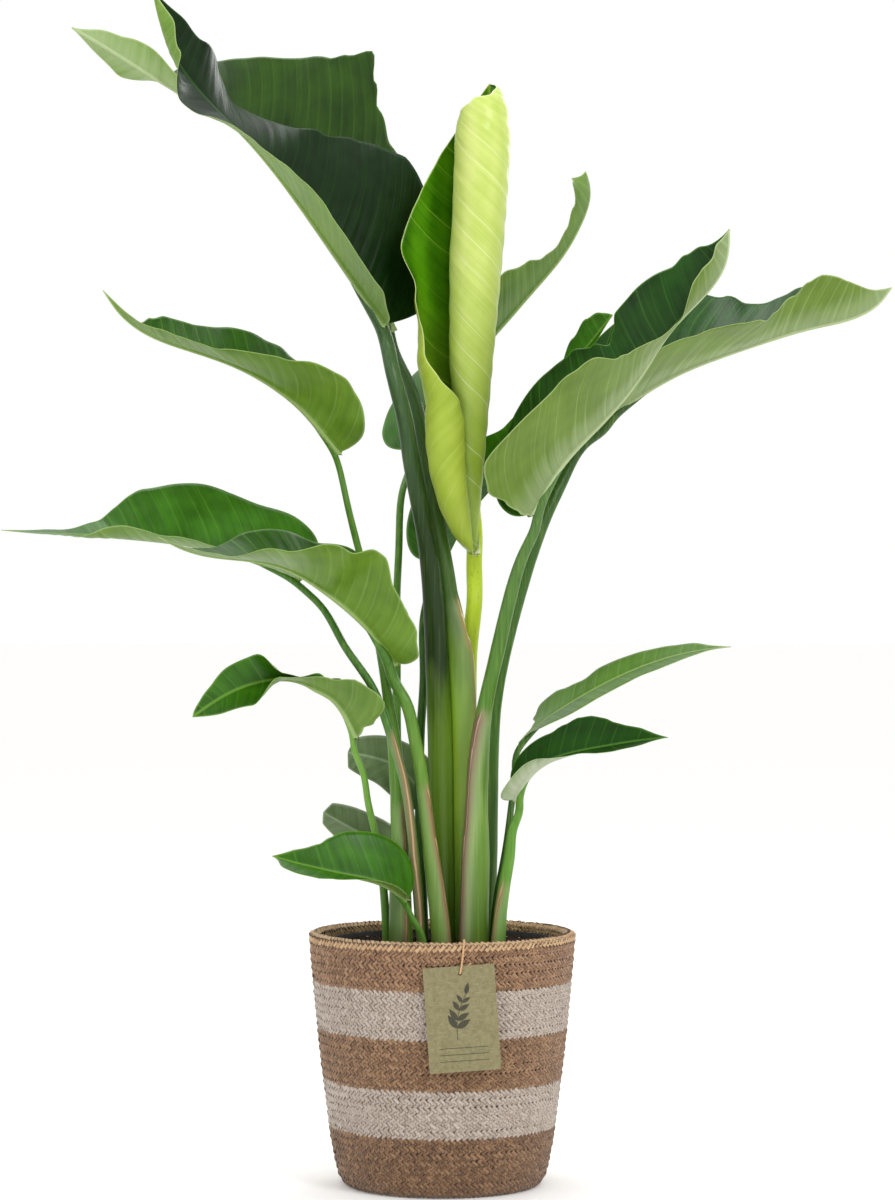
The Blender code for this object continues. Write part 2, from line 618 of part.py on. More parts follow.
def add_stalk(name, leaf, collection, cutters):
    """The stalk, and the cutter that makes its socket in the soil."""
    route, stations = stalk_route(leaf)
    _, length = smooth_route(route, [0, 1])
    count = max(6, round(length / STALK_STEP))
    shares = np.linspace(0, 1, count)
    points, _ = smooth_route(route, shares)
    radii = between(stations, shares)[:, 0]
    stalk = add_object(name, tube_curve(name, points, radii), collection)
    stalk.data.splines[0].use_smooth = True
    socket = points.copy()
    socket[-1] += unit(np.diff(points, axis=0))[-1] * GAP
    cutter = mesh_from(tube_curve("socket_" + name, socket, radii + GAP), cutters)
    return stalk, cutter


def mesh_from(curve, collection):
    """Turns a rod into a closed mesh, with its caps welded on."""
    guide = add_object(curve.name, curve, collection)
    mesh = bpy.data.meshes.new_from_object(guide)
    bpy.data.objects.remove(guide)
    work = bmesh.new()
    work.from_mesh(mesh)
    bmesh.ops.remove_doubles(work, verts=work.verts, dist=1e-6)
    bmesh.ops.recalc_face_normals(work, faces=work.faces)
    work.to_mesh(mesh)
    work.free()
    solid = add_object(curve.name, mesh, collection)
    hide_cutter(solid)
    return solid


def hide_cutter(cutter):
    cutter.hide_render = True
    cutter.display_type = "WIRE"


def turned(name, profile, steps, collection):
    """A profile of (radius, height), down its outer side, spun about the upright axis."""
    mesh = bpy.data.meshes.new(name)
    edges = [(i, i + 1) for i in range(len(profile) - 1)]
    mesh.from_pydata([(radius, 0, height) for radius, height in profile], edges, [])
    solid = add_object(name, mesh, collection)
    spin = solid.modifiers.new("spin", "SCREW")
    spin.angle = math.tau
    spin.steps = steps
    spin.render_steps = steps
    spin.use_merge_vertices = True
    spin.merge_threshold = 0.0001
    spin.use_smooth_shade = True
    return solid


def cut(solid, cutter):
    """Takes the cutter's shape out of the solid."""
    boolean = solid.modifiers.new(cutter.name, "BOOLEAN")
    boolean.operation = "DIFFERENCE"
    boolean.solver = "EXACT"
    boolean.object = cutter


def add_basket(collection):
    inner_base = BASKET_OUTSIDE[-3][0] - BASKET_WALL
    profile = [(0, BASKET_FLOOR), (inner_base, BASKET_FLOOR)]
    for radius, height in reversed(BASKET_OUTSIDE[2:-3]):
        profile.append((radius - BASKET_WALL, height))
    profile.append((BASKET_OUTSIDE[0][0] - BASKET_WALL / 2, BASKET_OUTSIDE[0][1]))
    profile += BASKET_OUTSIDE
    profile.append((0, 0))
    return turned("basket", profile, BASKET_STEPS, collection)


def pot_radius(height):
    """Outside radius of the nursery pot at a height."""
    share = (height - BASKET_FLOOR) / (POT_TOP - BASKET_FLOOR)
    return POT_BASE_RADIUS + (POT_TOP_RADIUS - POT_BASE_RADIUS) * share


def add_pot(collection, cutters):
    base = BASKET_FLOOR + GAP
    rim = POT_TOP - POT_RIM_DROP
    profile = [
        (0, base + POT_WALL),
        (pot_radius(base) - POT_WALL, base + POT_WALL),
        (pot_radius(POT_TOP) - POT_WALL, POT_TOP),
        (pot_radius(POT_TOP) + POT_RIM_OUT, POT_TOP),
        (pot_radius(rim) + POT_RIM_OUT, rim),
        (pot_radius(rim), rim),
        (pot_radius(base), base),
        (0, base),
    ]
    pot = turned("nursery_pot", profile, POT_STEPS, collection)
    holes = bpy.data.meshes.new("drain_holes")
    work = bmesh.new()
    for i in range(DRAIN_HOLES):
        turn = Matrix.Rotation(math.tau * i / DRAIN_HOLES, 4, "Z")
        place = turn @ Matrix.Translation((DRAIN_CIRCLE, 0, base + POT_WALL / 2))
        bmesh.ops.create_cone(
            work,
            cap_ends=True,
            segments=DRAIN_STEPS,
            radius1=DRAIN_RADIUS,
            radius2=DRAIN_RADIUS,
            depth=4 * POT_WALL,
            matrix=place,
        )
    work.to_mesh(holes)
    work.free()
    cutter = add_object("drain_holes", holes, cutters)
    hide_cutter(cutter)
    cut(pot, cutter)
    return pot


def add_soil(sockets, collection):
    base = BASKET_FLOOR + GAP + POT_WALL + GAP
    play = POT_WALL + GAP
    profile = [
        (0, SOIL_HEAP),
        (SOIL_MID_RADIUS, SOIL_HEAP - SOIL_MID_DROP),
        (pot_radius(SOIL_EDGE) - play, SOIL_EDGE),
        (pot_radius(base) - play, base),
        (0, base),
    ]
    soil = turned("potting_soil", profile, POT_STEPS, collection)
    for socket in sockets:
        cut(soil, socket)
    return soil


def add_tag(collection, cutters):
    """The card, with the hole that its twine runs through."""
    work = bmesh.new()
    bmesh.ops.create_cube(work, size=1.0)
    bmesh.ops.scale(work, vec=(TAG_WIDTH, TAG_THICK, TAG_HEIGHT), verts=work.verts)
    mesh = bpy.data.meshes.new("hang_tag")
    work.to_mesh(mesh)
    work.free()
    tag = add_object("hang_tag", mesh, collection)
    tag.location = TAG_CENTRE
    tag.rotation_euler = (0, -TAG_TURN, 0)
    work = bmesh.new()
    bmesh.ops.create_cone(
        work,
        cap_ends=True,
        segments=TAG_HOLE_STEPS,
        radius1=TAG_HOLE_RADIUS,
        radius2=TAG_HOLE_RADIUS,
        depth=4 * TAG_THICK,
        matrix=Matrix.Rotation(math.pi / 2, 4, "X"),
    )
    hole = bpy.data.meshes.new("tag_hole")
    work.to_mesh(hole)
    work.free()
    cutter = add_object("tag_hole", hole, cutters)
    turn = Matrix.Rotation(-TAG_TURN, 4, "Y")
    cutter.location = Vector(TAG_CENTRE) + turn @ Vector((TAG_HOLE[0], 0, TAG_HOLE[1]))
    cutter.rotation_euler = tag.rotation_euler
    hide_cutter(cutter)
    cut(tag, cutter)
    return tag


def add_twine(collection):
    points, _ = smooth_route(TWINE_ROUTE, np.linspace(0, 1, TWINE_POINTS))
    data = tube_curve("tag_twine", points, [TWINE_RADIUS] * TWINE_POINTS)
    data.splines[0].use_smooth = True
    return add_object("tag_twine", data, collection)


def main():
    for obj in list(bpy.data.objects):
        bpy.data.objects.remove(obj)
    plant = bpy.data.collections.new("potted_bird_of_paradise")
    cutters = bpy.data.collections.new("cutters")
    bpy.context.scene.collection.children.link(plant)
    bpy.context.scene.collection.children.link(cutters)
    sockets = []
    for name, leaf in LEAVES.items():
        green, stalk_green = leaf.get("greens", (LEAF_GREEN, STALK_GREEN))
        detail = FINE if name in BIG_LEAVES else SMALL if name in SMALL_LEAVES else PLAIN
        paint(add_blade("blade_" + name, leaf, detail, plant), green, LEAF_MATT)
        stalk, socket = add_stalk("stalk_" + name, leaf, plant, cutters)
        paint(stalk, stalk_green, STALK_MATT)
        sockets.append(socket)
    paint(add_soil(sockets, plant), SOIL_BROWN, SOIL_MATT)
    paint(add_pot(plant, cutters), POT_BLACK, POT_MATT)
    paint(add_basket(plant), JUTE_BROWN, JUTE_MATT)
    paint(add_tag(plant, cutters), CARD_OLIVE, CARD_MATT)
    paint(add_twine(plant), TWINE_TAN, TWINE_MATT)


main()
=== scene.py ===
import math
from functools import partial

import bpy
import numpy as np
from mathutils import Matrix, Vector, noise


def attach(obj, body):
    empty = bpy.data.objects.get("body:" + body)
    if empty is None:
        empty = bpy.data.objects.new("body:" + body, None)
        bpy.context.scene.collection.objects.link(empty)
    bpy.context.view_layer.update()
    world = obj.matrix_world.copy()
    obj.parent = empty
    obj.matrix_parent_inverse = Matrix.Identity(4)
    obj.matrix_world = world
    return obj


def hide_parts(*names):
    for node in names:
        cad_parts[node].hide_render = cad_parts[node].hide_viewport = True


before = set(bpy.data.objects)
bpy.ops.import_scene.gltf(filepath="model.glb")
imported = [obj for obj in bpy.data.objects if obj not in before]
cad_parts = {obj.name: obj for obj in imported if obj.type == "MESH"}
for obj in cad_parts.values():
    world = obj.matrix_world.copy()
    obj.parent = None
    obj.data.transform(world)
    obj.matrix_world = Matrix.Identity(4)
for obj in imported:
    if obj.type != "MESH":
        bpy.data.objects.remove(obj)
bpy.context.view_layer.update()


def toLinear(colour):
    values = [int(colour[i : i + 2], 16) / 255 for i in (1, 3, 5)]
    return (*[v / 12.92 if v <= 0.04045 else ((v + 0.055) / 1.055) ** 2.4 for v in values], 1.0)


def plug(node, inputs):
    # inputs go by name, or in order: numbers, hex colours, sockets to link from, or nodes, which
    # give their first live output
    for key, value in inputs.items() if isinstance(inputs, dict) else enumerate(inputs):
        if isinstance(value, bpy.types.Node):
            value = next(socket for socket in value.outputs if socket.enabled)
        if isinstance(value, bpy.types.NodeSocket):
            node.id_data.links.new(value, node.inputs[key])
        else:
            isColour = isinstance(value, str) and value.startswith("#")
            node.inputs[key].default_value = toLinear(value) if isColour else value


def addNode(tree, kind, inputs=(), stops=(), **settings):
    # kind goes without its prefix, and may end in a colon and an operation
    kind, _, operation = kind.partition(":")
    prefixes = ("ShaderNode", "GeometryNode", "FunctionNode", "")
    node = tree.nodes.new(next(p + kind for p in prefixes if hasattr(bpy.types, p + kind)))
    if operation:
        node.operation = operation
    for name, value in settings.items():
        setattr(node, name, value)
    plug(node, inputs)
    if stops:  # colour ramp: (place, colour) from low to high
        ramp = node.color_ramp.elements
        while len(ramp) < len(stops):
            ramp.new(0.5)
        for element, (place, colour) in zip(ramp, stops):
            element.position = place
            element.color = toLinear(colour)
    return node


def newMaterial(name):
    material = bpy.data.materials.new(name)
    material.use_nodes = True
    tree = material.node_tree
    return material, partial(addNode, tree), tree.nodes["Principled BSDF"]


def grain(add, where, scale, detail=2.0, **more):
    # noise at where, or on the object's own coordinates, stretched by a scale for each axis
    where = where or add("TexCoord").outputs["Object"]
    if isinstance(scale, tuple):
        where, scale = add("Mapping", {"Vector": where, "Scale": scale}), 1.0
    return add("TexNoise", {"Vector": where, "Scale": scale, "Detail": detail, **more})


def tint(add, base, colour, value, start, end, most, within=None):
    # base, turned towards colour by up to most as value runs from start to end
    share = add("MapRange", {"Value": value, "From Min": start, "From Max": end, "To Max": most})
    if within:
        share = add("Math:MULTIPLY", [share, within])
    return add("Mix", {0: share, 6: base, 7: colour}, data_type="RGBA")


def surface(add, shader, colour, height, strength, distance, sockets):
    bump = add("Bump", {"Height": height, "Strength": strength, "Distance": distance})
    plug(shader, {"Base Color": colour, "Normal": bump, **sockets})
    return bump


def shineThrough(add, shader, share, inputs):
    # thin living tissue lets a share of the light through
    both = add("MixShader", [share, shader.outputs[0], add("BsdfTranslucent", inputs)])
    plug(shader.id_data.nodes["Material Output"], {"Surface": both})


def addObject(name, data, spot=(0, 0, 0)):
    thing = bpy.data.objects.new(name, data)
    thing.location = spot
    bpy.context.scene.collection.objects.link(thing)
    return thing


def settle(piece, node):
    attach(piece, "root")  # the one body
    if node:
        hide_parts(node)
    return piece


def addPiece(name, points, faces, materials, node=None, slot=None, faceSlots=None, places=None):
    mesh = bpy.data.meshes.new(name)
    mesh.from_pydata(np.asarray(points, float).tolist(), [], faces)
    for material in materials:
        mesh.materials.append(material)
    if faceSlots is not None:
        mesh.polygons.foreach_set("material_index", np.asarray(faceSlots, np.int32))
    if places is not None:
        layer = mesh.attributes.new("place", "FLOAT_VECTOR", "POINT")
        layer.data.foreach_set("vector", np.asarray(places, np.float32).ravel())
    mesh.shade_smooth()
    mesh.update()
    piece = addObject(name, mesh)
    return settle(piece, node) if slot else piece


def metres(millimetres):
    return np.array(millimetres, float) / 1000


def ripple(t, seed):
    # uneven waves, about -1 to 1, one wave or so for each unit of t
    waves = ((0.55, 1, 1.7, 0), (0.30, 1.73, 2.9, 0.6), (0.15, 3.1, 4.3, 1.9))
    return sum(high * np.sin(pace * math.tau * t + own * seed + lag)
               for high, pace, own, lag in waves)


def eased(low, high, value):
    x = np.clip((value - low) / (high - low), 0, 1)
    return x * x * (3 - 2 * x)


def between(stations, u):
    # eased values at u from stations of (place, values...)
    rows = np.array(stations, float)
    place, values = rows[:, 0], rows[:, 1:]
    i = np.clip(np.searchsorted(place, u, side="right") - 1, 0, len(place) - 2)
    f = eased(place[i], place[i + 1], u)[:, None]
    return values[i] * (1 - f) + values[i + 1] * f


def unit(rows):
    return rows / np.maximum(np.linalg.norm(rows, axis=-1, keepdims=True), 1e-12)


def smoothRoute(points, shares):
    # natural cubic spline through points, at shares of its length, and that length
    p = np.array(points, float)
    knots = np.concatenate([[0.0], np.cumsum(np.linalg.norm(np.diff(p, axis=0), axis=1))])
    step = np.diff(knots)
    count = len(p)
    system = np.eye(count)
    pull = np.zeros_like(p)
    for i in range(1, count - 1):
        system[i, i - 1 : i + 2] = step[i - 1], 2 * (step[i - 1] + step[i]), step[i]
        pull[i] = 6 * ((p[i + 1] - p[i]) / step[i] - (p[i] - p[i - 1]) / step[i - 1])
    bend = np.linalg.solve(system, pull)

    def at(where):
        i = np.clip(np.searchsorted(knots, where, side="right") - 1, 0, count - 2)
        h = step[i][:, None]
        before = (knots[i + 1] - where)[:, None] / h
        after = 1 - before
        curve = (before**3 - before) * bend[i] + (after**3 - after) * bend[i + 1]
        return before * p[i] + after * p[i + 1] + curve * h**2 / 6

    dense = np.linspace(0, knots[-1], 400)
    run = np.linalg.norm(np.diff(at(dense), axis=0), axis=1)
    run = np.concatenate([[0.0], np.cumsum(run)])
    return at(np.interp(np.array(shares) * run[-1], run, dense)), run[-1]


def circle(steps):
    return math.tau * np.arange(steps) / steps


def loft(middles, first, second, angles, radii):
    # rings of points round middles, at angles from first towards second
    ring = first[:, None] * np.cos(angles)[:, None] + second[:, None] * np.sin(angles)[:, None]
    return (middles[:, None] + ring * radii[..., None]).reshape(-1, 3)


def ringQuads(rings, sides, start=0):
    # quads between closed rings of points, which are numbered ring by ring
    i, j = np.meshgrid(np.arange(rings - 1), np.arange(sides), indexing="ij")
    a, b = start + i * sides + j, start + i * sides + (j + 1) % sides
    return np.stack([a + sides, b + sides, b, a], axis=-1).reshape(-1, 4)


def tubeFaces(rings, sides, start=0):
    # the quads of a loft, with both ends filled
    first = list(range(start, start + sides))
    last = [v + (rings - 1) * sides for v in reversed(first)]
    return [*ringQuads(rings, sides, start).tolist(), first, last]


# Camera, level with the middle of the plant
studioCamera = {"spot": (0.005, -3.34, 0.556), "lens": 105.0, "film": 36.0}

view = bpy.data.cameras.new("studioCamera")
view.lens = studioCamera["lens"]
view.sensor_width = studioCamera["film"]
view.clip_end = 200.0
camera = addObject("studioCamera", view, studioCamera["spot"])
camera.rotation_euler = (math.pi / 2, 0, 0)
bpy.context.scene.camera = camera
print("camera set")

# Twine of the hang tag: two-ply jute, from inside the rim over it, through the tag and up behind
twine = {
    "diameter": 0.0020,
    "plies": 2,
    "plyRadius": 0.00052,
    "plySpread": 0.93,  # of each ply's middle from the twine's, in ply radii
    "lay": 0.0058,  # length of one full twist
    "lumps": 0.004,  # length of the unevenness along a ply
    "rings": 200,
    "sides": 8,
    "endTaper": 0.025,  # share of the length
    "colours": ("#B98A57", "#E3C193"),
    "route": [  # in millimetres
        (21.5, -113.5, 222.5), (21.2, -113.7, 229), (20.8, -114, 236.2), (20.4, -115.6, 241.5),
        (20.2, -120, 243), (20, -124.3, 242), (19.8, -126.5, 238), (19.4, -127.2, 233),
        (18.8, -127.8, 227), (18, -129.6, 221.5), (17.3, -130.2, 217), (16.8, -129.8, 214),
        (16.6, -127.8, 213.1), (17, -126, 214.2), (19.5, -125.6, 216.5), (23, -125.8, 219.5),
        (26.8, -126.2, 222.5),
    ],
}


def jutePlyMaterial():
    # Jute twine, spun and twisted: matt, with long straw fibres that run along each ply
    material, add, shader = newMaterial("twistedJuteTwine")
    # place: x runs along the ply in metres and y round it, so fibres are 4 mm long and 0.15 mm wide
    place = add("Attribute", attribute_name="place").outputs["Vector"]
    fibre = grain(add, place, (250.0, 9.0, 1.0), 3.0)
    straw = add("ValToRGB", [fibre], list(zip((0.25, 0.75), twine["colours"])))
    surface(add, shader, straw, fibre, 0.6, 0.0002, {"Roughness": 0.85, "Sheen Weight": 0.2})
    return material


def addTwine():
    count, sides, end = twine["rings"], twine["sides"], twine["endTaper"]
    route = metres(twine["route"])
    shares = np.linspace(0, 1, count)
    path, length = smoothRoute(route, shares)
    ahead = unit(np.gradient(path, axis=0))
    side = unit(np.cross(ahead, (1.0, 0.0, 0.0)))
    up = np.cross(side, ahead)
    around = circle(sides)
    points, faces, places = [], [], []
    for ply in range(twine["plies"]):
        twist = math.tau * (shares * length / twine["lay"] + ply / twine["plies"])
        off = np.cos(twist)[:, None] * side + np.sin(twist)[:, None] * up
        middle = path + twine["plyRadius"] * twine["plySpread"] * off
        taper = 1 - 0.45 * eased(1 - end, 1.0, shares) - 0.45 * eased(end, 0.0, shares)
        lumpy = 1 + 0.06 * ripple(shares * length / twine["lumps"], ply)
        radius = twine["plyRadius"] * taper * lumpy
        points.append(loft(middle, side, up, around, radius[:, None]))
        faces += tubeFaces(count, sides, ply * count * sides)
        turn = np.broadcast_to(np.abs(around / math.pi - 1), (count, sides))
        along = np.broadcast_to((shares * length)[:, None], (count, sides))
        places.append(np.stack([along, turn, np.full(turn.shape, ply)], axis=-1).reshape(-1, 3))
    piece = addPiece("tagTwine", np.vstack(points), faces, [jutePlyMaterial()],
                     "tag_twine", "tag_twine", places=np.vstack(places))
    spine, _ = smoothRoute(route, np.linspace(0, 1, 40))


addTwine()
print("twine laid")

# Leaves. All lengths here are in millimetres and all angles in degrees.
# Blade: the spine is the midrib from base to tip, with a left and a right half seen from the upper
# side. At stations along it, faces is the way the upper side looks, and left and right say how far
# a half rises, beside the midrib and at its edge, with a fourth number that holds the bend back
# towards the edge. half is the greatest width of a half and wideAt where it lies; tip, point, lobe
# and sweep shape its outline. Reach is the share of that outline, in percent, that a half fills.
# wave is how far the edge sways. A pair of values is for the left and the right half.
# Petiole: stalk runs from under the blade down to the soil, ease below the midrib, and radius is
# given along it. spineBack and stalkBack set the points of either further from the camera. greens
# change with height. sheath gives where the margin of an open leaf sheath runs, as (height, angle)
# with 0 in front and 90 to the right, wrap which way it folds, lip its papery and brown colours,
# band the brown's width and milk how silvery the sheath is. swell is where a sheath stands out to
# hold the next stalk: angle, half width, and (height, how far). fibres is how strongly the
# lengthwise fibres show.
leaves = {}
leaves["upper_left_front"] = dict(
    look="deep", wave=1.6, half=(100, 122), tip=1.3, point=1.15, lobe=35, ease=0.3,
    spine=[(-54, 0, 819), (-90, -22, 868), (-133, -35, 928), (-183, -42, 990), (-226, -50, 1033),
        (-255, -60, 1074), (-270, -75, 1126)],
    faces=[(0, 0.5, -0.6, 0.4), (0.5, 0.5, -0.65, 0.4), (0.8, 0.6, -0.7, 0.2), (1, 0.7, -0.7, 0)],
    left=[(0, 60, 80), (0.3, 57, 62), (0.55, 46, 46), (0.7, 20, 30), (0.8, 25, 90), (0.92, 30, 125),
        (1, 30, 120)],
    right=[(0, 20, 40), (0.25, 14, 14), (0.45, 2, -2), (0.62, -25, -45), (0.78, -5, 0),
        (0.9, 10, 10), (1, 20, 20)],
    leftReach=[(0, 55), (10, 50), (20, 60), (30, 64), (40, 85), (50, 70), (62, 90), (80, 120),
        (90, 150), (100, 150)],
    rightReach=[(0, 100), (20, 100), (30, 110), (36, 106), (40, 100), (45, 80), (50, 68), (55, 74),
        (60, 105), (70, 110), (80, 105), (90, 125), (100, 120)],
    stalk=[(-49, 2, 776), (-37, 4, 728), (-31, 6, 690), (-17, 8, 614), (-10, 9, 537), (-7, 10, 461),
        (-5, 10, 385), (-2, 10, 226)],
    radius=[(0, 6), (0.3, 7.5), (0.6, 8.5), (1, 9)],
    greens=[(240, "#4E6E14"), (420, "#567616"), (500, "#1C3008"), (620, "#20380E"),
        (800, "#48663E")],
    swell=[(85, 60, [(204, 7), (400, 8), (520, 6.5), (620, 3), (800, 2.6), (860, 0)])],
    fibres=0.1)
leaves["upper_left_back"] = dict(
    look="dusky", wave=2.2, half=(65, 130), tip=(1.5, 1.7), point=1.3, lobe=30, ease=0.8,
    spine=[(-46, 34, 815), (-88, 60, 897), (-145, 80, 972), (-212, 85, 1024), (-279, 75, 1064),
        (-327, 65, 1093), (-360, 60, 1112)],
    spineBack=[28, 36, 42, 46, 46, 46, 46],
    faces=[(0, 0.5, -0.5, 0.6), (0.5, 0.35, -0.5, 0.8), (0.7, 0.3, -0.3, 0.9),
        (0.84, 0.2, 0.5, 0.8), (1, 0.2, 0.8, 0.5)],
    left=[(0, 30, 50), (0.6, 25, 30), (0.72, 35, 40), (0.85, 55, 65), (1, 40, 50)],
    right=[(0, -40, -60), (0.2, -30, -50), (0.34, 40, 52), (0.46, 58, 62), (0.58, 48, 52),
        (0.7, 30, 30), (0.85, 5, 5), (1, 10, 10)],
    leftReach=[(0, 1), (10, 2), (17, 40), (25, 100), (75, 100), (86, 150), (93, 200), (100, 190)],
    rightReach=[(0, 1), (10, 2), (18, 50), (24, 75), (30, 70), (35, 72), (40, 85), (42.5, 100),
        (45, 120), (47.5, 108), (50, 100), (60, 90), (70, 90), (78, 50), (86, 90), (100, 100)],
    stalk=[(-32, 53, 764), (-20, 45, 720), (-13, 38, 681), (-1, 26, 610), (8, 20, 556),
        (12, 16, 509), (15, 14, 461), (17, 13, 365), (19, 12, 226)],
    radius=[(0, 6), (0.4, 8), (1, 9)],
    greens=[(240, "#5E8A26"), (360, "#86A62C"), (460, "#6F9428"), (540, "#3A5A14"),
        (800, "#48663E")],
    swell=[(80, 50, [(300, 6), (460, 9), (505, 9), (562, 0)]),
        (-90, 60, [(460, 0), (560, 2.6), (800, 2.6), (860, 0)])],
    sheath=[(556, 52), (517, 78), (500, 92), (360, 96), (200, 96)],
    wrap=-1, lip=("#E0D6A8", "#A88A50"), fibres=0.1)
leaves["new_leaf"] = dict(
    look="young", leftUnder="flap", wave=0.8, half=(118, 124), wideAt=(0.26, 0.8), tip=(2, 3),
    point=(1, 0.5), lobe=(18, 0), ease=0.4,
    spine=[(32, 36, 602), (32, 34, 680), (34, 33, 790), (39, 32, 900), (44, 30, 990),
        (45, 28, 1052)],
    faces=[(0, 0.1, -1, 0), (1, 0.1, -1, 0)],
    left=[(0, 5, 230, 1.6), (0.1, 5, 232, 1.7), (0.3, 5, 240, 1.9), (0.4, 5, 200, 2.2),
        (0.5, 15, 110, 2), (0.62, 10, 45, 1.5), (1, 10, 40, 1.5)],
    right=[(0, 40, 320), (0.3, 40, 315), (0.7, 40, 285), (1, 40, 270)],
    leftReach=[(0, 80), (6, 90), (12, 120), (20, 120), (25, 112), (30, 97), (35, 87), (40, 82),
        (45, 83), (50, 92), (56, 98), (62, 100), (100, 100)],
    rightReach=[(0, 100), (86, 100), (90, 92), (93, 80), (96, 62), (100, 45)],
    stalk=[(31, 36, 556), (27, 36, 518), (25, 36, 461), (23, 35, 365), (22, 34, 226)],
    radius=[(0, 8), (1, 9)],
    greens=[(240, "#8FB020"), (450, "#AAC620"), (600, "#C0D830")])
leaves["upper_back"] = dict(
    look="mid", wave=1.6, half=(78, 62), tip=(1.6, 1.9), point=(1.3, 0.9), ease=0.3,
    spine=[(-29, 55, 703), (12, 70, 770), (61, 80, 828), (91, 84, 862), (117, 86, 893),
        (136, 86, 926), (144, 86, 957), (140, 86, 975)],
    spineBack=[50, 48, 48, 48, 48, 48, 48, 48],
    faces=[(0, -0.5, -0.6, 0.6), (0.5, -0.7, -0.3, 0.6), (1, -0.9, -0.4, 0.2)],
    left=[(0, 5, 8), (0.3, 2, 2), (0.45, -12, -14), (1, -14, -16)],
    right=[(0, 30, 45), (0.5, 42, 58), (0.7, 50, 62), (1, 40, 60)],
    rightReach=[(0, 100), (50, 105), (60, 78), (66, 55), (72, 45), (78, 60), (84, 100), (90, 190),
        (95, 240), (100, 200)],
    stalk=[(-39, 50, 660), (-42, 45, 610), (-44, 40, 560), (-44, 36, 500), (-44, 32, 440),
        (-42, 28, 360), (-40, 22, 226)],
    stalkBack=[34, 18, 12, 8, 4, 0, 0],
    radius=[(0, 3.5), (1, 5)],
    greens=[(240, "#4A7524"), (600, "#4F7E28")])
leaves["dark_back"] = dict(
    look="mid", wave=1.2, half=(55, 45), ease=0.3,
    spine=[(-10, 45, 596), (11, 60, 650), (44, 75, 692), (87, 88, 743), (131, 95, 792),
        (167, 98, 836)],
    spineBack=[22, 28, 28, 28, 28, 28],
    faces=[(0, -0.4, -0.6, 0.6), (1, -0.5, -0.6, 0.5)],
    left=[(0, 10, 20), (1, 10, 20)],
    right=[(0, 10, 20), (1, 10, 20)],
    leftReach=[(0, 85), (25, 80), (40, 50), (50, 25), (74, 25), (82, 120), (88, 200), (94, 260),
        (100, 300)],
    stalk=[(-18, 44, 540), (-18, 42, 490), (-21, 40, 430), (-22, 37, 360), (-18, 34, 226)],
    stalkBack=[14, 8, 3, 0, 0],
    radius=[(0, 3.8), (1, 5.5)],
    greens=[(240, "#31561C"), (550, "#3A6420")])
leaves["right_near"] = dict(
    look="pale", wave=1.8, half=(85, 90), tip=(2, 1.7), lobe=30, ease=0.3,
    spine=[(84, -22, 638), (113, -30, 685), (151, -36, 725), (189, -40, 771), (217, -43, 812),
        (246, -45, 842), (266, -47, 872), (270, -48, 905)],
    faces=[(0, -0.78, -0.1, 0.62), (1, -0.8, -0.1, 0.5)],
    left=[(0, 20, 30), (0.15, 30, 35), (0.3, 42, 46), (0.5, 50, 56), (0.7, 62, 66), (1, 75, 75)],
    right=[(0, 45, 60), (0.15, 42, 52), (0.3, 34, 42), (0.48, 22, 28), (0.64, 4, 6), (0.8, 30, 44),
        (1, 50, 60)],
    leftReach=[(0, 100), (30, 108), (40, 100), (46, 80), (50, 63), (54, 72), (58, 86), (74, 95),
        (80, 112), (90, 140), (100, 140)],
    rightReach=[(0, 100), (5, 75), (10, 80), (15, 100), (20, 112), (30, 108), (36, 120), (41, 130),
        (46, 100), (50, 82), (56, 90), (62, 100), (85, 110), (93, 150), (100, 150)],
    stalk=[(78.5, -22, 604), (65.5, -21, 568), (53.5, -20, 518), (45, -19, 480), (38, -18, 442),
        (33, -18, 385), (31, -18, 308), (29, -18, 226)],
    radius=[(0, 5.5), (0.35, 6.5), (0.6, 11), (0.8, 14.5), (1, 15.5)],
    greens=[(240, "#52761F"), (340, "#6A8E36"), (460, "#4E7826"), (660, "#4F7236")],
    swell=[(90, 70, [(440, 0), (500, 2), (560, 2), (620, 0)])],
    sheath=[(452, -14), (430, -34), (385, -46), (340, -50), (260, -56), (200, -60)],
    wrap=1, lip=("#C9A79A", "#7A4446"), milk=0.62, band=9.5)
leaves["right_far"] = dict(
    look="pale", wave=2.2, half=80, tip=2.5, point=1,
    spine=[(158, 45, 732), (192, 52, 756), (234, 55, 779), (273, 55, 794), (316, 52, 808),
        (360, 48, 820), (398, 45, 829), (421, 43, 842), (434, 42, 858)],
    faces=[(0, -0.4, 0, 0.9), (1, -0.3, 0, 0.9)],
    left=[(0, 45, 55), (0.3, 50, 60), (0.45, 36, 40), (0.55, 30, 34), (0.7, 40, 44), (1, 30, 30)],
    right=[(0, 16, 24), (0.35, 14, 20), (0.5, 8, 12), (0.66, 36, 44), (0.8, 40, 50), (1, 40, 60)],
    leftReach=[(0, 100), (30, 115), (40, 128), (45, 115), (50, 100), (100, 100)],
    rightReach=[(0, 100), (35, 105), (45, 115), (50, 115), (54, 95), (60, 72), (65, 78), (68, 100),
        (72, 115), (85, 108), (100, 100)],
    stalk=[(141, 40, 709), (118, 30, 673), (101, 20, 637), (85, 14, 594), (71, 12, 547),
        (59, 12, 499), (52, 14, 461), (48, 18, 404), (46, 20, 318), (43, 22, 226)],
    radius=[(0, 4.2), (0.4, 5.5), (1, 8)],
    greens=[(240, "#3E6420"), (500, "#3F661F"), (720, "#2E4F1C")],
    swell=[(-90, 70, [(480, 0), (540, 3), (660, 3), (740, 0)])])
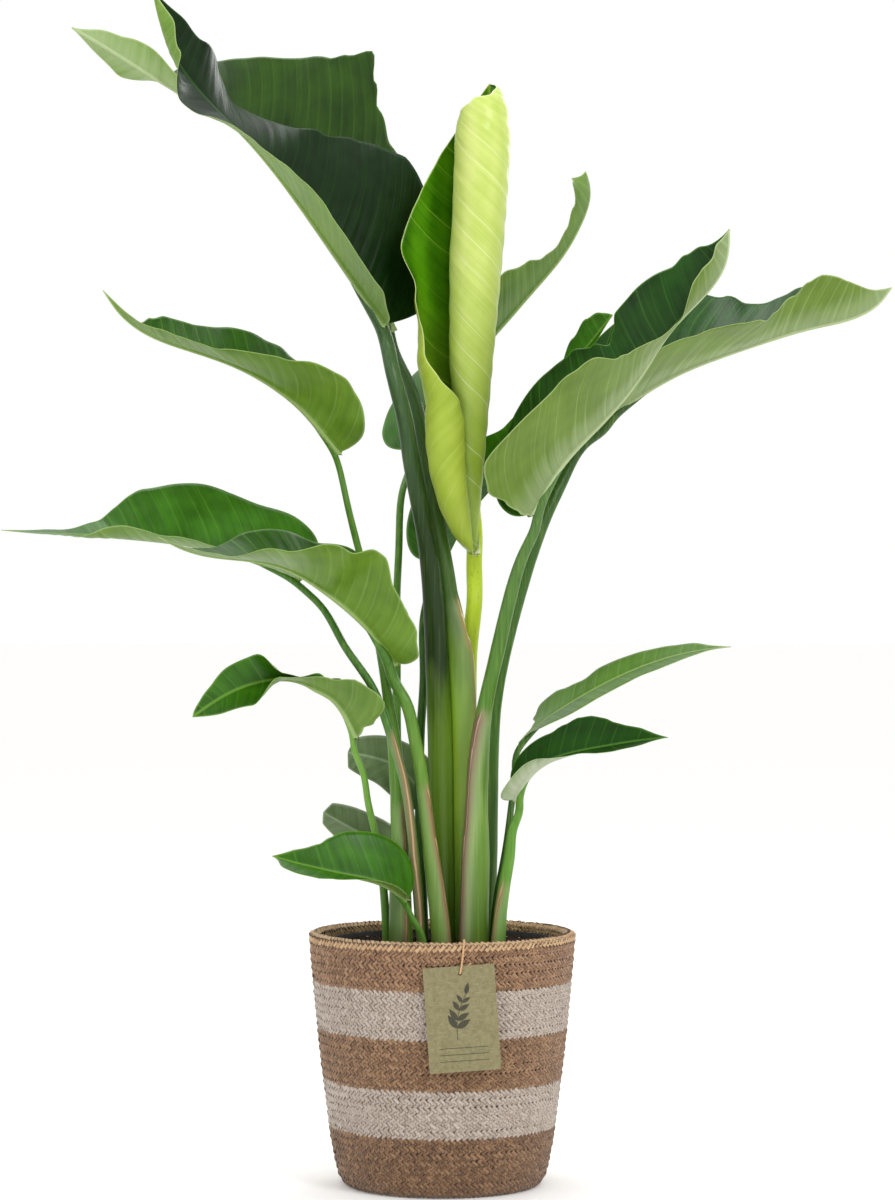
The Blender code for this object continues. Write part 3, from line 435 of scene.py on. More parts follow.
leaves["left_upper"] = dict(
    look="bright", wave=1.8, half=62, lobe=8,
    spine=[(-98, -20, 696), (-112, -32, 714), (-131, -40, 736), (-156, -47, 756), (-193, -52, 776),
        (-240, -55, 792), (-277, -57, 806), (-302, -60, 825), (-317, -65, 846)],
    faces=[(0, 0.4, -0.2, 0.9), (1, 0.3, 0, 0.9)],
    left=[(0, 60, 85), (0.15, 58, 80), (0.35, 25, 34), (0.5, 10, 16), (0.7, 12, 22), (1, 20, 30)],
    right=[(0, 20, 20), (0.35, 28, 28), (0.5, 38, 40), (0.65, 38, 42), (0.78, 44, 50),
        (0.86, 15, 15), (1, 10, 10)],
    leftReach=[(0, 100), (20, 100), (25, 110), (30, 120), (35, 110), (40, 100), (100, 100)],
    rightReach=[(0, 95), (30, 95), (35, 105), (40, 100), (50, 88), (60, 88), (70, 105), (76, 85),
        (82, 50), (100, 60)],
    stalk=[(-91, -14, 652), (-81, -6, 610), (-70, -4, 566), (-61, -3, 518), (-53, -5, 470),
        (-46, -8, 423), (-41, -12, 350), (-39, -12, 226)],
    radius=[(0, 3.3), (0.4, 4.2), (0.65, 8), (1, 12.5)],
    greens=[(240, "#4A6E22"), (420, "#5C8A2C"), (700, "#4F7C28")],
    sheath=[(365, 30), (330, 40), (280, 30), (200, 20)],
    wrap=-1, lip=("#A88A62", "#7C5C44"))
leaves["left_mid_far"] = dict(
    look="mid", wave=1.6, half=(58, 68),
    spine=[(-137, -4, 577), (-178, 2, 594), (-222, 4, 606), (-269, 2, 613), (-317, 0, 617),
        (-365, -3, 620), (-393, -5, 621), (-420, -7, 623)],
    faces=[(0, 0.2, 0, 1), (1, 0.1, 0, 1)],
    left=[(0, -5, 10), (0.4, -8, 20), (0.55, -12, 50), (0.7, -14, 10), (0.85, -10, 0), (1, 0, 0)],
    right=[(0, 36, 50), (0.25, 48, 56), (0.55, 56, 66), (0.66, 30, 36), (0.8, 12, 14), (1, 8, 8)],
    rightReach=[(0, 100), (20, 108), (26, 100), (35, 110), (50, 100), (60, 82), (68, 65), (76, 55),
        (85, 80), (100, 100)],
    stalk=[(-115, -7, 550), (-93, -13, 513), (-67, -21, 475), (-50, -29, 432), (-36, -31, 385),
        (-28, -27, 330), (-23.5, -18, 285), (-19, -12, 226)],
    radius=[(0, 3.8), (0.5, 4.5), (1, 5.3)],
    greens=[(240, "#3B651E"), (420, "#3A6820"), (580, "#487824")],
    sheath=[(432, 38), (410, 20), (380, 12), (340, 8), (200, 0)],
    wrap=-1, lip=("#C6AD84", "#8C6A4C"))
leaves["left_mid_near"] = dict(
    look="bright", wave=1.6, half=72, lobe=8, ease=0.4,
    spine=[(-44, -22, 497), (-65, -35, 525), (-84, -46, 544), (-112, -60, 566), (-149, -75, 587),
        (-186, -85, 594), (-216, -92, 597), (-244, -97, 605), (-263, -100, 615)],
    faces=[(0, 0.4, -0.3, 0.9), (1, 0.1, 0, 1)],
    left=[(0, 25, 35), (0.1, 32, 42), (0.2, 50, 60), (0.32, 62, 74), (0.42, 34, 44), (0.55, 14, 20),
        (0.7, 5, 10), (1, 10, 10)],
    right=[(0, 50, 60), (0.2, 54, 62), (0.32, 44, 50), (0.45, 24, 28), (0.6, 26, 30),
        (0.75, 12, 12), (1, 10, 10)],
    leftReach=[(0, 100), (10, 105), (15, 90), (20, 78), (26, 78), (32, 95), (40, 115), (50, 130),
        (62, 130), (75, 120), (100, 100)],
    rightReach=[(0, 100), (10, 95), (15, 80), (20, 66), (25, 72), (30, 82), (40, 85), (46, 100),
        (60, 97), (100, 100)],
    stalk=[(-35, -22, 461), (-27, -22, 432), (-20, -22, 394), (-14, -22, 346), (-8, -22, 299),
        (-2, -22, 251), (0, -22, 226)],
    radius=[(0, 6), (0.4, 7), (1, 10.5)],
    greens=[(240, "#64882E"), (400, "#628A30"), (500, "#4A7828")],
    sheath=[(382, 34), (360, 44), (320, 52), (200, 58)],
    wrap=-1, lip=("#D2B48C", "#8E5648"), band=6.5)
leaves["left_twisted"] = dict(
    look="mid", wave=1, half=37, tip=2.2, point=1, lobe=6,
    spine=[(-81, -10, 426), (-89, -14, 443), (-97, -18, 456), (-105, -21, 464), (-120, -25, 472),
        (-135, -28, 479), (-164, -33, 480), (-197, -38, 470), (-235, -44, 446)],
    faces=[(0, 0.5, -0.3, 0.8), (0.3, 0.4, -0.5, 0.7), (0.46, 0, -1, 0.15), (1, 0, -1, 0.2)],
    left=[(0, 70, 85), (0.3, 70, 80), (0.43, 84, 90), (0.47, 84, 90), (0.62, 40, 45), (1, 30, 30)],
    right=[(0, 10, 10), (0.28, 20, 20), (0.43, 84, 90), (0.47, 84, 90), (0.62, 10, 5), (1, 5, 5)],
    leftReach=[(0, 80), (8, 70), (13, 100), (20, 135), (25, 110), (30, 65), (40, 60), (46, 80),
        (50, 100), (100, 100)],
    rightReach=[(0, 100), (20, 100), (25, 70), (30, 42), (42, 35), (47, 70), (50, 100), (60, 80),
        (70, 84), (80, 75), (90, 80), (100, 100)],
    stalk=[(-76, -8, 394), (-71, -6, 366), (-66, -3, 343), (-61, 1, 318), (-57, 6, 289),
        (-54, 9, 251), (-53, 10, 226)],
    radius=[(0, 3.3), (1, 4.5)],
    greens=[(240, "#5A8A30"), (440, "#6F9E3C")])
leaves["low_back"] = dict(
    look="grey", wave=0.8, half=30, tip=2.5, point=0.9,
    spine=[(-22, 50, 372), (-40, 58, 392), (-62, 62, 402), (-92, 64, 408)],
    faces=[(0, 0, -0.7, 0.7), (1, 0, -0.7, 0.7)],
    left=[(0, 0, 0), (1, 0, 0)],
    right=[(0, 0, 0), (1, 0, 0)],
    stalk=[(-20, 50, 340), (-20, 50, 290), (-20, 50, 226)],
    radius=[(0, 3), (1, 4)],
    greens=[(240, "#42683A"), (360, "#4C7444")])
leaves["low_left_front"] = dict(
    look="mid", wave=1, half=40, lobe=6,
    spine=[(-33, -48, 274), (-44, -56, 284), (-58, -63, 292), (-76, -68, 297), (-100, -73, 302),
        (-124, -78, 308), (-143, -81, 313), (-158, -83, 318)],
    faces=[(0, 0.1, -0.1, 1), (1, 0.1, -0.1, 1)],
    left=[(0, 16, 12), (0.2, 14, 10), (0.45, 0, -6), (1, -8, -12)],
    right=[(0, 45, 55), (0.5, 48, 56), (1, 35, 40)],
    leftReach=[(0, 50), (20, 40), (30, 30), (40, 45), (50, 90), (58, 130), (70, 150), (80, 140),
        (100, 100)],
    rightReach=[(0, 120), (10, 125), (30, 124), (42, 122), (50, 108), (60, 95), (70, 90),
        (100, 100)],
    stalk=[(-26, -45, 253), (-19, -42, 239), (-17, -40, 226)],
    radius=[(0, 3), (1, 4)],
    greens=[(220, "#5A8A30"), (280, "#4F822C")])
leaves["low_left_back"] = dict(
    look="grey", wave=0.8, half=30, tip=2.2, point=1,
    spine=[(-46, 47, 309), (-57, 48, 319), (-79, 48, 331), (-115, 46, 351)],
    faces=[(0, 0.2, -0.5, 0.9), (1, 0.2, -0.5, 0.9)],
    left=[(0, 0, 0), (1, 0, 0)],
    right=[(0, 10, 10), (1, 10, 10)],
    stalk=[(-38, 44, 275), (-34, 40, 226)],
    radius=[(0, 3), (1, 3.5)],
    greens=[(220, "#466E38"), (300, "#4C7444")])
leaves["right_small_upper"] = dict(
    look="soft", wave=1, half=33, lobe=6,
    spine=[(72, 4, 420), (89, 0, 436), (107, -4, 449), (151, -10, 475), (198, -14, 496),
        (237, -17, 507), (274, -20, 512)],
    faces=[(0, -0.5, 0, 0.8), (1, -0.2, 0, 0.95)],
    left=[(0, 10, 15), (0.15, 15, 20), (0.3, 28, 34), (0.5, 36, 40), (0.8, 30, 30), (1, 25, 25)],
    right=[(0, -5, -10), (0.3, -15, -18), (0.6, -14, -16), (1, -5, -5)],
    leftReach=[(0, 20), (8, 20), (13, 45), (17, 85), (22, 108), (26, 100), (30, 78), (36, 70),
        (42, 86), (50, 85), (60, 92), (70, 100), (80, 112), (90, 100), (100, 100)],
    rightReach=[(0, 30), (10, 50), (20, 75), (30, 95), (50, 100), (60, 125), (75, 130), (100, 100)],
    stalk=[(69, 3, 390), (66, 2, 362), (63, 1, 337), (59, 0, 310), (52, -1, 270), (48, -1, 226)],
    radius=[(0, 3.3), (1, 4.5)],
    greens=[(240, "#294A16"), (420, "#3A641F")])
leaves["right_small_lower"] = dict(
    look="dark", wave=1, half=36, lobe=12,
    spine=[(69, -30, 368), (76, -40, 384), (91, -48, 400), (115, -55, 411), (151, -62, 419),
        (187, -68, 425), (211, -72, 428)],
    faces=[(0, -0.4, -0.1, 0.9), (1, -0.1, -0.1, 0.9)],
    left=[(0, 40, 50), (0.4, 50, 55), (0.7, 45, 45), (1, 30, 30)],
    right=[(0, 30, 42), (0.25, 22, 30), (0.45, 0, 0), (0.6, -8, -10), (1, -5, -5)],
    leftReach=[(0, 70), (20, 72), (35, 75), (40, 90), (45, 108), (50, 114), (56, 113), (62, 105),
        (70, 100), (100, 100)],
    rightReach=[(0, 85), (10, 85), (20, 72), (30, 75), (38, 40), (48, 45), (56, 70), (65, 90),
        (75, 105), (100, 100)],
    stalk=[(67, -29, 340), (64, -28, 318), (61, -27, 299), (55, -26, 260), (52, -26, 226)],
    radius=[(0, 4), (0.5, 6), (1, 8)],
    greens=[(240, "#5E922C"), (370, "#5A8A2C")],
    sheath=[(290, -20), (275, -34), (240, -44), (200, -50)],
    wrap=1, lip=("#C9B085", "#94704F"))

leafDefaults = {
    "wideAt": 0.30, "tip": 1.5, "point": 1.2, "lobe": 20, "sweep": 15, "ease": 0,
    "leftReach": [(0, 100), (100, 100)], "rightReach": [(0, 100), (100, 100)],
    "swell": [], "fibres": 0.22, "band": 5.0, "milk": 0.25,
}
leaves = {name: {**leafDefaults, **leaf} for name, leaf in leaves.items()}

# The blades' greens: shaded, lit and vein colours of the upper side and of the underside. glow is
# the light let through, gloss the roughness (the underside has 0.1 more), bloom the silver beside
# the midrib underneath, partly a waxy coat and partly painted sheen, foot a greener colour near the
# stalk. veins is the distance between the veins that show as lines, veinFine how thin and veinShow
# how strong those are, and streaks how strongly broad streaks run along the blade.
lookDefaults = {
    "glow": 0.05, "ior": 1.35, "gloss": 0.34, "bloomAndSheen": 0.0,
    "veins": 0.0125, "veinFine": 0.90, "veinShow": 0.26, "streaks": 0.25,
}
leafLooks = {
    "deep": {"glow": 0.0, "ior": 1.22, "veinShow": 0.18,
             "top": ("#061603", "#102E08", "#2A5218"), "under": ("#5E8432", "#7F9F4A", "#AFC587")},
    "dusky": {"glow": 0.03, "ior": 1.3, "bloomAndSheen": 0.3, "veinShow": 0.14,
              "top": ("#102806", "#33560F", "#5E8438"), "under": ("#6A8E36", "#86A650", "#B4C88A")},
    "mid": {"top": ("#163A04", "#3E7A08", "#6E9C34"), "under": ("#4F7426", "#71923C", "#A3BC78")},
    "dark": {"glow": 0.02, "ior": 1.25, "bloomAndSheen": 0.9,
             "top": ("#0C2803", "#1E4C06", "#4E7E28"), "under": ("#5C7C34", "#7E9A56", "#B3C59A")},
    "bright": {
             "top": ("#123404", "#32620A", "#74A040"), "under": ("#4C7018", "#6E922C", "#A2BC74")},
    "soft": {"bloomAndSheen": 0.3,
             "top": ("#3C6418", "#608A30", "#9AB66C"), "under": ("#607E38", "#829E56", "#B4C694")},
    "pale": {"glow": 0.02, "ior": 1.28, "bloomAndSheen": 0.3,
             "top": ("#0A2404", "#22540A", "#5A8A34"), "under": ("#567222", "#728F38", "#B4C88A")},
    "young": {"ior": 1.45, "gloss": 0.22, "veins": 0.024, "veinFine": 0.985, "veinShow": 0.5,
              "streaks": 0.55, "foot": "#8DAE28",
              "top": ("#205404", "#54920C", "#AED04E"), "under": ("#B0CA4E", "#D4E27E", "#F4F8CE")},
    "flap": {"veins": 0.024, "veinFine": 0.985, "veinShow": 0.3,
             "top": ("#2F6B08", "#57980F", "#A8CC4E"), "under": ("#93AE2C", "#B7CB4C", "#DCE694")},
    "grey": {"top": ("#465C36", "#6A8052", "#8EA27A"), "under": ("#54703F", "#748C5A", "#9CAE8A")},
}
leafLooks = {name: {**lookDefaults, **look} for name, look in leafLooks.items()}

blade = {
    "thickness": 0.0006,
    "edgeThickness": 0.00035,
    "ribHeight": 0.0032,  # of the midrib under the blade, at its base
    "ribHalfWidth": 0.0028,
    "grooveDepth": 0.0007,  # along the midrib's upper side
    "grooveHalfWidth": 0.0017,
    "veinHeight": 0.00032,  # of the folds that show as soft ribs
    "waveLength": 0.062,  # of the uneven waves along the edge
    "rowStep": 0.0026,
    "columnStep": 0.0032,
    "rowCrowding": 1.15,  # rows lie closer together towards the base
    "columnCrowding": 1.35,  # and columns towards the midrib
    "evenBend": 1.3,  # how a half's bend is shared out where its station gives none
    "leastWidth": 0.0003,
    "veinLean": (0.35, 2.6),  # how a vein runs towards the tip on its way out, plain and squared
}


def leafMaterial(name, tones, look, gloss, glow, bloomAndSheen=0.0):
    # Living leaf skin: waxy and half-glossy, with fine parallel veins that leave the midrib
    material, add, shader = newMaterial(name)
    # place: x is where along the midrib a point's vein starts, y the distance from the midrib, and
    # z the distance from the edge, all in metres
    place = add("Attribute", attribute_name="place").outputs["Vector"]
    place = add("SeparateXYZ", [place]).outputs
    far = add("Math:ABSOLUTE", [place["Y"]])
    along = add("CombineXYZ", [place["X"], place["Y"]])
    cloud = grain(add, None, 26.0, 3.0, Roughness=0.55)
    fine = grain(add, along, (900.0, 22.0, 1.0))  # veins 1.1 mm apart and some 45 mm long
    bands = grain(add, along, (150.0, 7.0, 1.0), 1.0)  # between the stronger veins, 7 mm apart
    streak = grain(add, along, (2.5, 60.0, 1.0), 0.0)  # along the blade, 17 mm wide
    wobble = add("Math:MULTIPLY_ADD", [cloud, 1.1, -0.55])
    turn = add("Math:MULTIPLY_ADD", [place["X"], math.tau / look["veins"], wobble])
    fold = add("Math:SINE", [turn])
    uneven = add("MapRange", {"Value": bands, "From Min": 0.35, "From Max": 0.60})
    tone = 0.02
    parts = ((cloud, 0.55), (bands, 0.32), (fine, 0.22), (streak, look["streaks"]))
    for part, weight in parts:
        tone = add("Math:MULTIPLY_ADD", [part, weight, tone])
    shift = look["streaks"] / 2
    skin = add("ValToRGB", [tone], [(0.30 + shift, tones[0]), (0.75 + shift, tones[1])])
    if "foot" in look:
        skin = tint(add, skin, look["foot"], place["X"], 0.22, 0.06, 0.8)
    skin = tint(add, skin, tones[2], fold, look["veinFine"], 1.0, look["veinShow"], uneven)
    skin = tint(add, skin, tones[2], far, 0.0022, 0.0008, 0.75)  # the midrib
    if bloomAndSheen:  # a waxy coat with painted sheen beside the midrib, in streaks along the veins
        reach = add("Math:MULTIPLY_ADD", [bands, -0.03, far])
        skin = tint(add, skin, "#C6CFB4", reach, 0.018, -0.012, bloomAndSheen)
    skin = tint(add, skin, tones[2], place["Z"], 0.0016, 0.0004, 0.65)  # the edge
    rough = add("MapRange", {"Value": cloud, "From Min": 0.3, "From Max": 0.7,
                             "To Min": gloss - 0.05, "To Max": gloss + 0.06})
    height = add("Math:MULTIPLY_ADD", [fine, 0.35, bands])
    bump = surface(add, shader, skin, height, 0.6, 0.0010, {"Roughness": rough, "IOR": look["ior"]})
    shineThrough(add, shader, glow, {"Color": tones[1], "Normal": bump})
    return material


leafMaterials = {
    name: (leafMaterial(name + "LeafUpperSkin", look["top"], look, look["gloss"], look["glow"]),
           leafMaterial(name + "LeafUnderside", look["under"], look, look["gloss"] + 0.1, 0.08,
                        look["bloomAndSheen"]))
    for name, look in leafLooks.items()
}


def leafRoute(leaf, key):
    # points with a list of how far back they lie are set back along the camera's lines of sight
    points, eye = metres(leaf[key]), np.array(studioCamera["spot"])
    back = metres(leaf.get(key + "Back", [0] * len(points)))
    share = 1 + back / (points[:, 1] - eye[1])
    return np.round(eye + (points - eye) * share[:, None], 4)


def bladeFrame(leaf, u):
    # midrib points, forward, upper side and right-hand directions, and the midrib's length
    mid, length = smoothRoute(leafRoute(leaf, "spine"), u)
    ahead = unit(np.gradient(mid, u * length, axis=0))
    up = unit(between(leaf["faces"], u))
    up = unit(up - (up * ahead).sum(axis=1)[:, None] * ahead)
    return mid, ahead, up, np.cross(ahead, up), length


def bladeGrid(leaf, rows, columns):
    # the upper side as rows from base to tip and columns from left to right, and each point's place
    u = np.linspace(0, 1, rows) ** blade["rowCrowding"]
    spread = np.linspace(0, 1, columns + 1) ** blade["columnCrowding"]
    mid, ahead, up, right, length = bladeFrame(leaf, u)
    halves, places = [], []
    for k, (side, sign) in enumerate((("left", -1), ("right", 1))):
        values = {key: v[k] if isinstance(v, tuple) else v for key, v in leaf.items()}
        wide = values["wideAt"]
        turn = math.pi / 2 * np.clip(u / wide, 0, 1)
        rest = np.clip((u - wide) / (1 - wide), 0, 1)
        outline = (1 - rest ** values["tip"]) ** values["point"]
        width = np.where(u < wide, np.sin(turn), outline) * values["half"] / 1000
        width = (width + blade["leastWidth"])[:, None]
        bend = between([(*row, blade["evenBend"])[:4] for row in leaf[side]], u)
        inner, outer = np.radians(bend[:, :1]), np.radians(bend[:, 1:2])
        s = spread * between(np.array(leaf[side + "Reach"]) / 100, u)
        angle = inner + (outer - inner) * s ** bend[:, 2:]
        step = np.diff(s, axis=1, prepend=0)
        out, rise = (np.cumsum((way + np.roll(way, 1, axis=1)) / 2 * step, axis=1)
                     for way in (np.cos(angle), np.sin(angle)))
        lobe = length * wide * (1 - np.cos(turn)) - values["lobe"] / 1000 * np.sin(2 * turn)
        sweep = values["sweep"] / 1000 * np.clip(4 * rest, 0, 1) * np.clip(3 - 3 * rest, 0, 1)
        along = (np.where(u < wide, lobe - length * u, 0) + sweep)[:, None] * s**1.3
        points = mid[:, None] + ahead[:, None] * along[..., None]
        points = points + right[:, None] * (sign * out * width)[..., None]
        halves.append(points + up[:, None] * (rise * width)[..., None])
        away = s * width
        plain, squared = blade["veinLean"]
        vein = (u * length)[:, None] + along - plain * away - squared * away**2
        places.append(np.stack([vein, sign * away, (s[:, -1:] - s) * width], axis=-1))
    grid, place = (np.concatenate([two[0][:, ::-1], two[1][:, 1:]], axis=1)
                   for two in (halves, places))
    return grid, place, up, u, length


def gridNormals(grid, up):
    ahead = np.gradient(grid, axis=0)
    right = np.gradient(grid, axis=1)
    ahead[0] = ahead[1]
    cross = np.cross(right, ahead)
    size = np.linalg.norm(cross, axis=-1, keepdims=True)
    return np.where(size > 1e-12, cross / np.maximum(size, 1e-12), up[:, None])


def addBlade(name, leaf, seed):
    _, length = smoothRoute(leafRoute(leaf, "spine"), [0, 1])
    rows = round(length / blade["rowStep"]) + 1
    columns = round(np.max(leaf["half"]) / 1000 / blade["columnStep"]) + 2
    grid, places, up, u, length = bladeGrid(leaf, rows, columns)
    normals = gridNormals(grid, up)
    vein, away, edge = places[..., 0], np.abs(places[..., 1]), places[..., 2]
    width = away + edge
    u = u[:, None]
    # soft folds along the veins, a sway that grows towards the edge, and the midrib's groove
    apart = leafLooks[leaf["look"]]["veins"]
    folds = np.sin(math.tau * vein / apart + 0.7 * ripple(vein / 0.05, seed))
    folds = folds * eased(0.002, 0.016, away) * eased(0.0, 0.008, edge) * blade["veinHeight"]
    side = np.where(places[..., 1] < 0, 0.0, 5.0)
    sway = ripple(u * length / blade["waveLength"] + side, seed) * leaf["wave"] / 1000
    sway = sway * (away / np.maximum(width, 1e-6)) ** 3 * eased(0.01, 0.05, width)
    groove = blade["grooveDepth"] * (1 - 0.7 * u)
    groove = groove * np.exp(-((away / blade["grooveHalfWidth"]) ** 2))
    grid = grid + normals * (folds + sway - groove)[..., None]
    normals = gridNormals(grid, up)
    least = blade["edgeThickness"]
    thin = least + (blade["thickness"] - least) * eased(0, 0.01, edge)
    ribTall = blade["ribHeight"] * (1 - u) ** 1.2 + 0.0003
    ribWide = blade["ribHalfWidth"] * (1 - 0.65 * u)
    rib = ribTall * np.clip(1 - (away / ribWide) ** 2, 0, 1)
    under = grid - normals * (thin + rib)[..., None]
    wide = grid.shape[1]
    total = rows * wide
    i, j = np.meshgrid(np.arange(rows - 1), np.arange(wide - 1), indexing="ij")
    a = (i * wide + j).ravel()
    top = np.stack([a, a + 1, a + 1 + wide, a + wide], axis=-1)
    low = top[:, ::-1] + total
    loop = np.concatenate([np.arange(wide), np.arange(2 * wide - 1, total, wide),
                           np.arange(total - 2, total - wide - 1, -1),
                           np.arange(total - 2 * wide, 0, -wide)])
    ring = np.roll(loop, -1)
    rim = np.stack([ring, loop, loop + total, ring + total], axis=-1)
    slots = np.concatenate([np.zeros(len(top)), np.ones(len(low) + len(rim))])
    materials = list(leafMaterials[leaf["look"]])
    if "leftUnder" in leaf:  # the left half's underside differs
        materials.append(leafMaterials[leaf["leftUnder"]][1])
        slots[len(top) : len(top) + len(low)][(a % wide) < wide // 2] = 2
    points = np.vstack([part.reshape(-1, 3) for part in (grid, under)])
    slot = "new_leaf_blade" if name == "new_leaf" else "leaf_blade"
    addPiece("leafBlade." + name, points, np.vstack([top, low, rim]).tolist(), materials,
             "blade_" + name, slot, slots, np.vstack([places.reshape(-1, 3)] * 2))


for number, (name, leaf) in enumerate(leaves.items(), 1):
    addBlade(name, leaf, number)
print("blades grown:", len(leaves))

stalk = {
    "ringStep": 0.0045,
    "sides": 28,
    "round": 0.965,  # share of the CAD rod's radius, which is eight-sided
    "gapUnderRib": 0.0045,  # the CAD rod's distance under the midrib, where this one rises to it
    "under": 0.002,
    "lead": 0.012,
    "rodFlat": 0.92,
    "foot": 0.204,
    # the head rises into the midrib: share of the blade, depth, and depth in top radii
    "head": [(0.17, 0.0022, 0.0), (0.10, 0.0020, 0.22), (0.02, 0.0014, 0.66)],
    "headRadius": 0.16,  # share of the radius at the very top
    "channelDepth": 0.20,  # share of the radius, at the blade
    "channelWidth": 30.0,  # degrees
    "lipHeight": 0.0011,
}


def stalkMaterial(name, leaf):
    # Living petiole skin: smooth and waxy, with fine fibres and a papery brown sheath margin
    material, add, shader = newMaterial(name)
    # place: x runs along the stalk, y is the distance from the sheath's margin, z how much sheath
    place = add("Attribute", attribute_name="place").outputs["Vector"]
    place = add("SeparateXYZ", [place]).outputs
    solid = add("TexCoord").outputs["Object"]
    height = add("SeparateXYZ", [solid]).outputs["Z"]
    heights, greens = zip(*leaf["greens"])
    low, high = heights[0] / 1000, heights[-1] / 1000
    rise = add("MapRange", {"Value": height, "From Min": low, "From Max": high})
    fibre = grain(add, solid, (420.0, 420.0, 9.0), 3.0)  # 0.6 to 2.4 mm wide and 110 mm long
    blotch = grain(add, solid, (70.0, 70.0, 14.0))
    drift = add("Math:MULTIPLY_ADD", [blotch, 0.24, -0.12])
    risen = add("Math:ADD", [rise, drift], use_clamp=True)
    places = [(z / 1000 - low) / (high - low) for z in heights]
    skin = add("ValToRGB", [risen], list(zip(places, greens)))
    skin = tint(add, skin, "#A3C05C", fibre, 0.50, 0.78, leaf["fibres"])
    skin = tint(add, skin, "#23401C", fibre, 0.46, 0.28, leaf["fibres"] * 1.4)
    if "sheath" in leaf:
        papery, brown = leaf["lip"]
        ragged = add("Math:MULTIPLY_ADD", [blotch, 0.004, -0.002])
        off = add("Math:ADD", [place["Y"], ragged])
        # on the sheath: a silvery, slightly milky skin that fades away from the margin
        outer = add("Math:MULTIPLY", [add("Math:GREATER_THAN", [off, 0.0]), place["Z"]])
        skin = tint(add, skin, "#BCCB9C", off, 0.016, 0.002, leaf["milk"], outer)
        # a band of brown either side of the margin, and the thin dry margin itself
        apart = add("Math:ABSOLUTE", [off])
        skin = tint(add, skin, brown, apart, leaf["band"] / 1000, 0.0012, 0.80, place["Z"])
        skin = tint(add, skin, papery, apart, 0.0011, 0.0005, 0.85, place["Z"])
    skin = tint(add, skin, "#4A3A22", height, 0.246, 0.222, 0.45)  # dust and painted shade just above the soil
    rough = add("MapRange", {"Value": blotch, "To Min": 0.26, "To Max": 0.42})
    surface(add, shader, skin, fibre, 0.45, 0.0004, {"Roughness": rough, "IOR": 1.36})
    shineThrough(add, shader, 0.02, {"Color": "#7FA64E"})
    return material


def addStalk(name, leaf):
    u = np.array([0, 0.02, 0.05, 0.10, 0.17])
    mid, ahead, up, _, _ = bladeFrame(leaf, u)
    radii = [(share, radius / 1000) for share, radius in leaf["radius"]]
    topRadius = radii[0][1]
    line = leafRoute(leaf, "stalk")
    drop = stalk["gapUnderRib"] + leaf["ease"] / 1000 + topRadius * stalk["rodFlat"]
    below = mid[0] - up[0] * drop + ahead[0] * (stalk["under"] - stalk["lead"])
    foot, last = line[-1], line[-2]
    deep = foot + (foot - last) * (stalk["foot"] - foot[2]) / (foot[2] - last[2])
    head = []
    for share, depth, thick in stalk["head"]:
        k = list(u).index(share)
        head.append(mid[k] - up[k] * (depth + thick * topRadius))
    route = [*head, below, *line, deep]
    _, whole = smoothRoute(route, [0, 1])
    rings = round(whole / stalk["ringStep"])
    shares = np.linspace(0, 1, rings)
    line, _ = smoothRoute(route, shares)
    reach = np.linalg.norm(head[0] - head[1]) + np.linalg.norm(head[1] - head[2])
    run = shares * whole
    radius = between(radii, np.clip((run - reach) / (whole - reach), 0, 1))[:, 0]
    grown = eased(-0.004, reach * 1.05, run) ** 0.8
    radius = radius * stalk["round"] * (stalk["headRadius"] + (1 - stalk["headRadius"]) * grown)
    upward = -unit(np.gradient(line, axis=0))
    viewer = np.array((0.0, -1.0, 0.0))
    front = unit(viewer - upward * (upward @ viewer)[:, None])
    side = np.cross(upward, front)
    angle = circle(stalk["sides"])
    degrees = np.degrees(angle)[None]
    height = line[:, 2]
    # the channel along the upper side, then slight unevenness
    grooveAt = np.arctan2(side @ up[0], front @ up[0])
    apart = np.degrees(np.abs((angle[None] - grooveAt[:, None] + math.pi) % math.tau - math.pi))
    depth = stalk["channelDepth"] * (1 - 0.8 * eased(0.05, 0.30, run))[:, None]
    grown = radius[:, None] * (1 - depth * np.exp(-((apart / stalk["channelWidth"]) ** 2)))
    grown = grown * (1 + 0.012 * ripple(run[:, None] / 0.05, len(name)) + 0.006 * np.sin(5 * angle))
    offMargin, amount = np.full(grown.shape, 0.05), np.zeros(grown.shape)
    for middle, half, levels in leaf["swell"]:
        turned = (degrees - middle + 180) % 360 - 180
        out = np.interp(height, *metres(levels).T)
        grown = grown + out[:, None] * np.exp(-((turned / half) ** 2))
    if "sheath" in leaf:
        margin = np.interp(height, [z / 1000 for z, _ in leaf["sheath"]][::-1],
                           [a for _, a in leaf["sheath"]][::-1])
        turn = leaf["wrap"] * (degrees - margin[:, None])
        turn = (turn + 120) % 360 - 120  # -120 to 240: below 0 is past the margin, uncovered
        offMargin = np.radians(turn) * radius[:, None]
        tip = leaf["sheath"][0][0] / 1000
        amount = np.broadcast_to(eased(tip + 0.004, tip - 0.012, height)[:, None], grown.shape)
        step = np.where(turn > -1, np.exp(-np.clip(turn, 0, 240) / 80), 0)
        dip = np.where(turn <= -1, -0.6 * np.exp(turn / 25), 0)
        grown = grown + amount * stalk["lipHeight"] * (step + dip)
    along = np.broadcast_to((whole - run)[:, None], grown.shape)
    places = np.stack([along, offMargin, amount], axis=-1)
    slot = "new_leaf_stalk" if name == "new_leaf" else "leaf_stalk"
    addPiece("leafStalk." + name, loft(line, front, side, angle, grown),
             tubeFaces(rings, stalk["sides"]), [stalkMaterial("petioleSkin." + name, leaf)],
             "stalk_" + name, slot, places=places.reshape(-1, 3))


for name, leaf in leaves.items():
    addStalk(name, leaf)
print("stalks grown:", len(leaves))

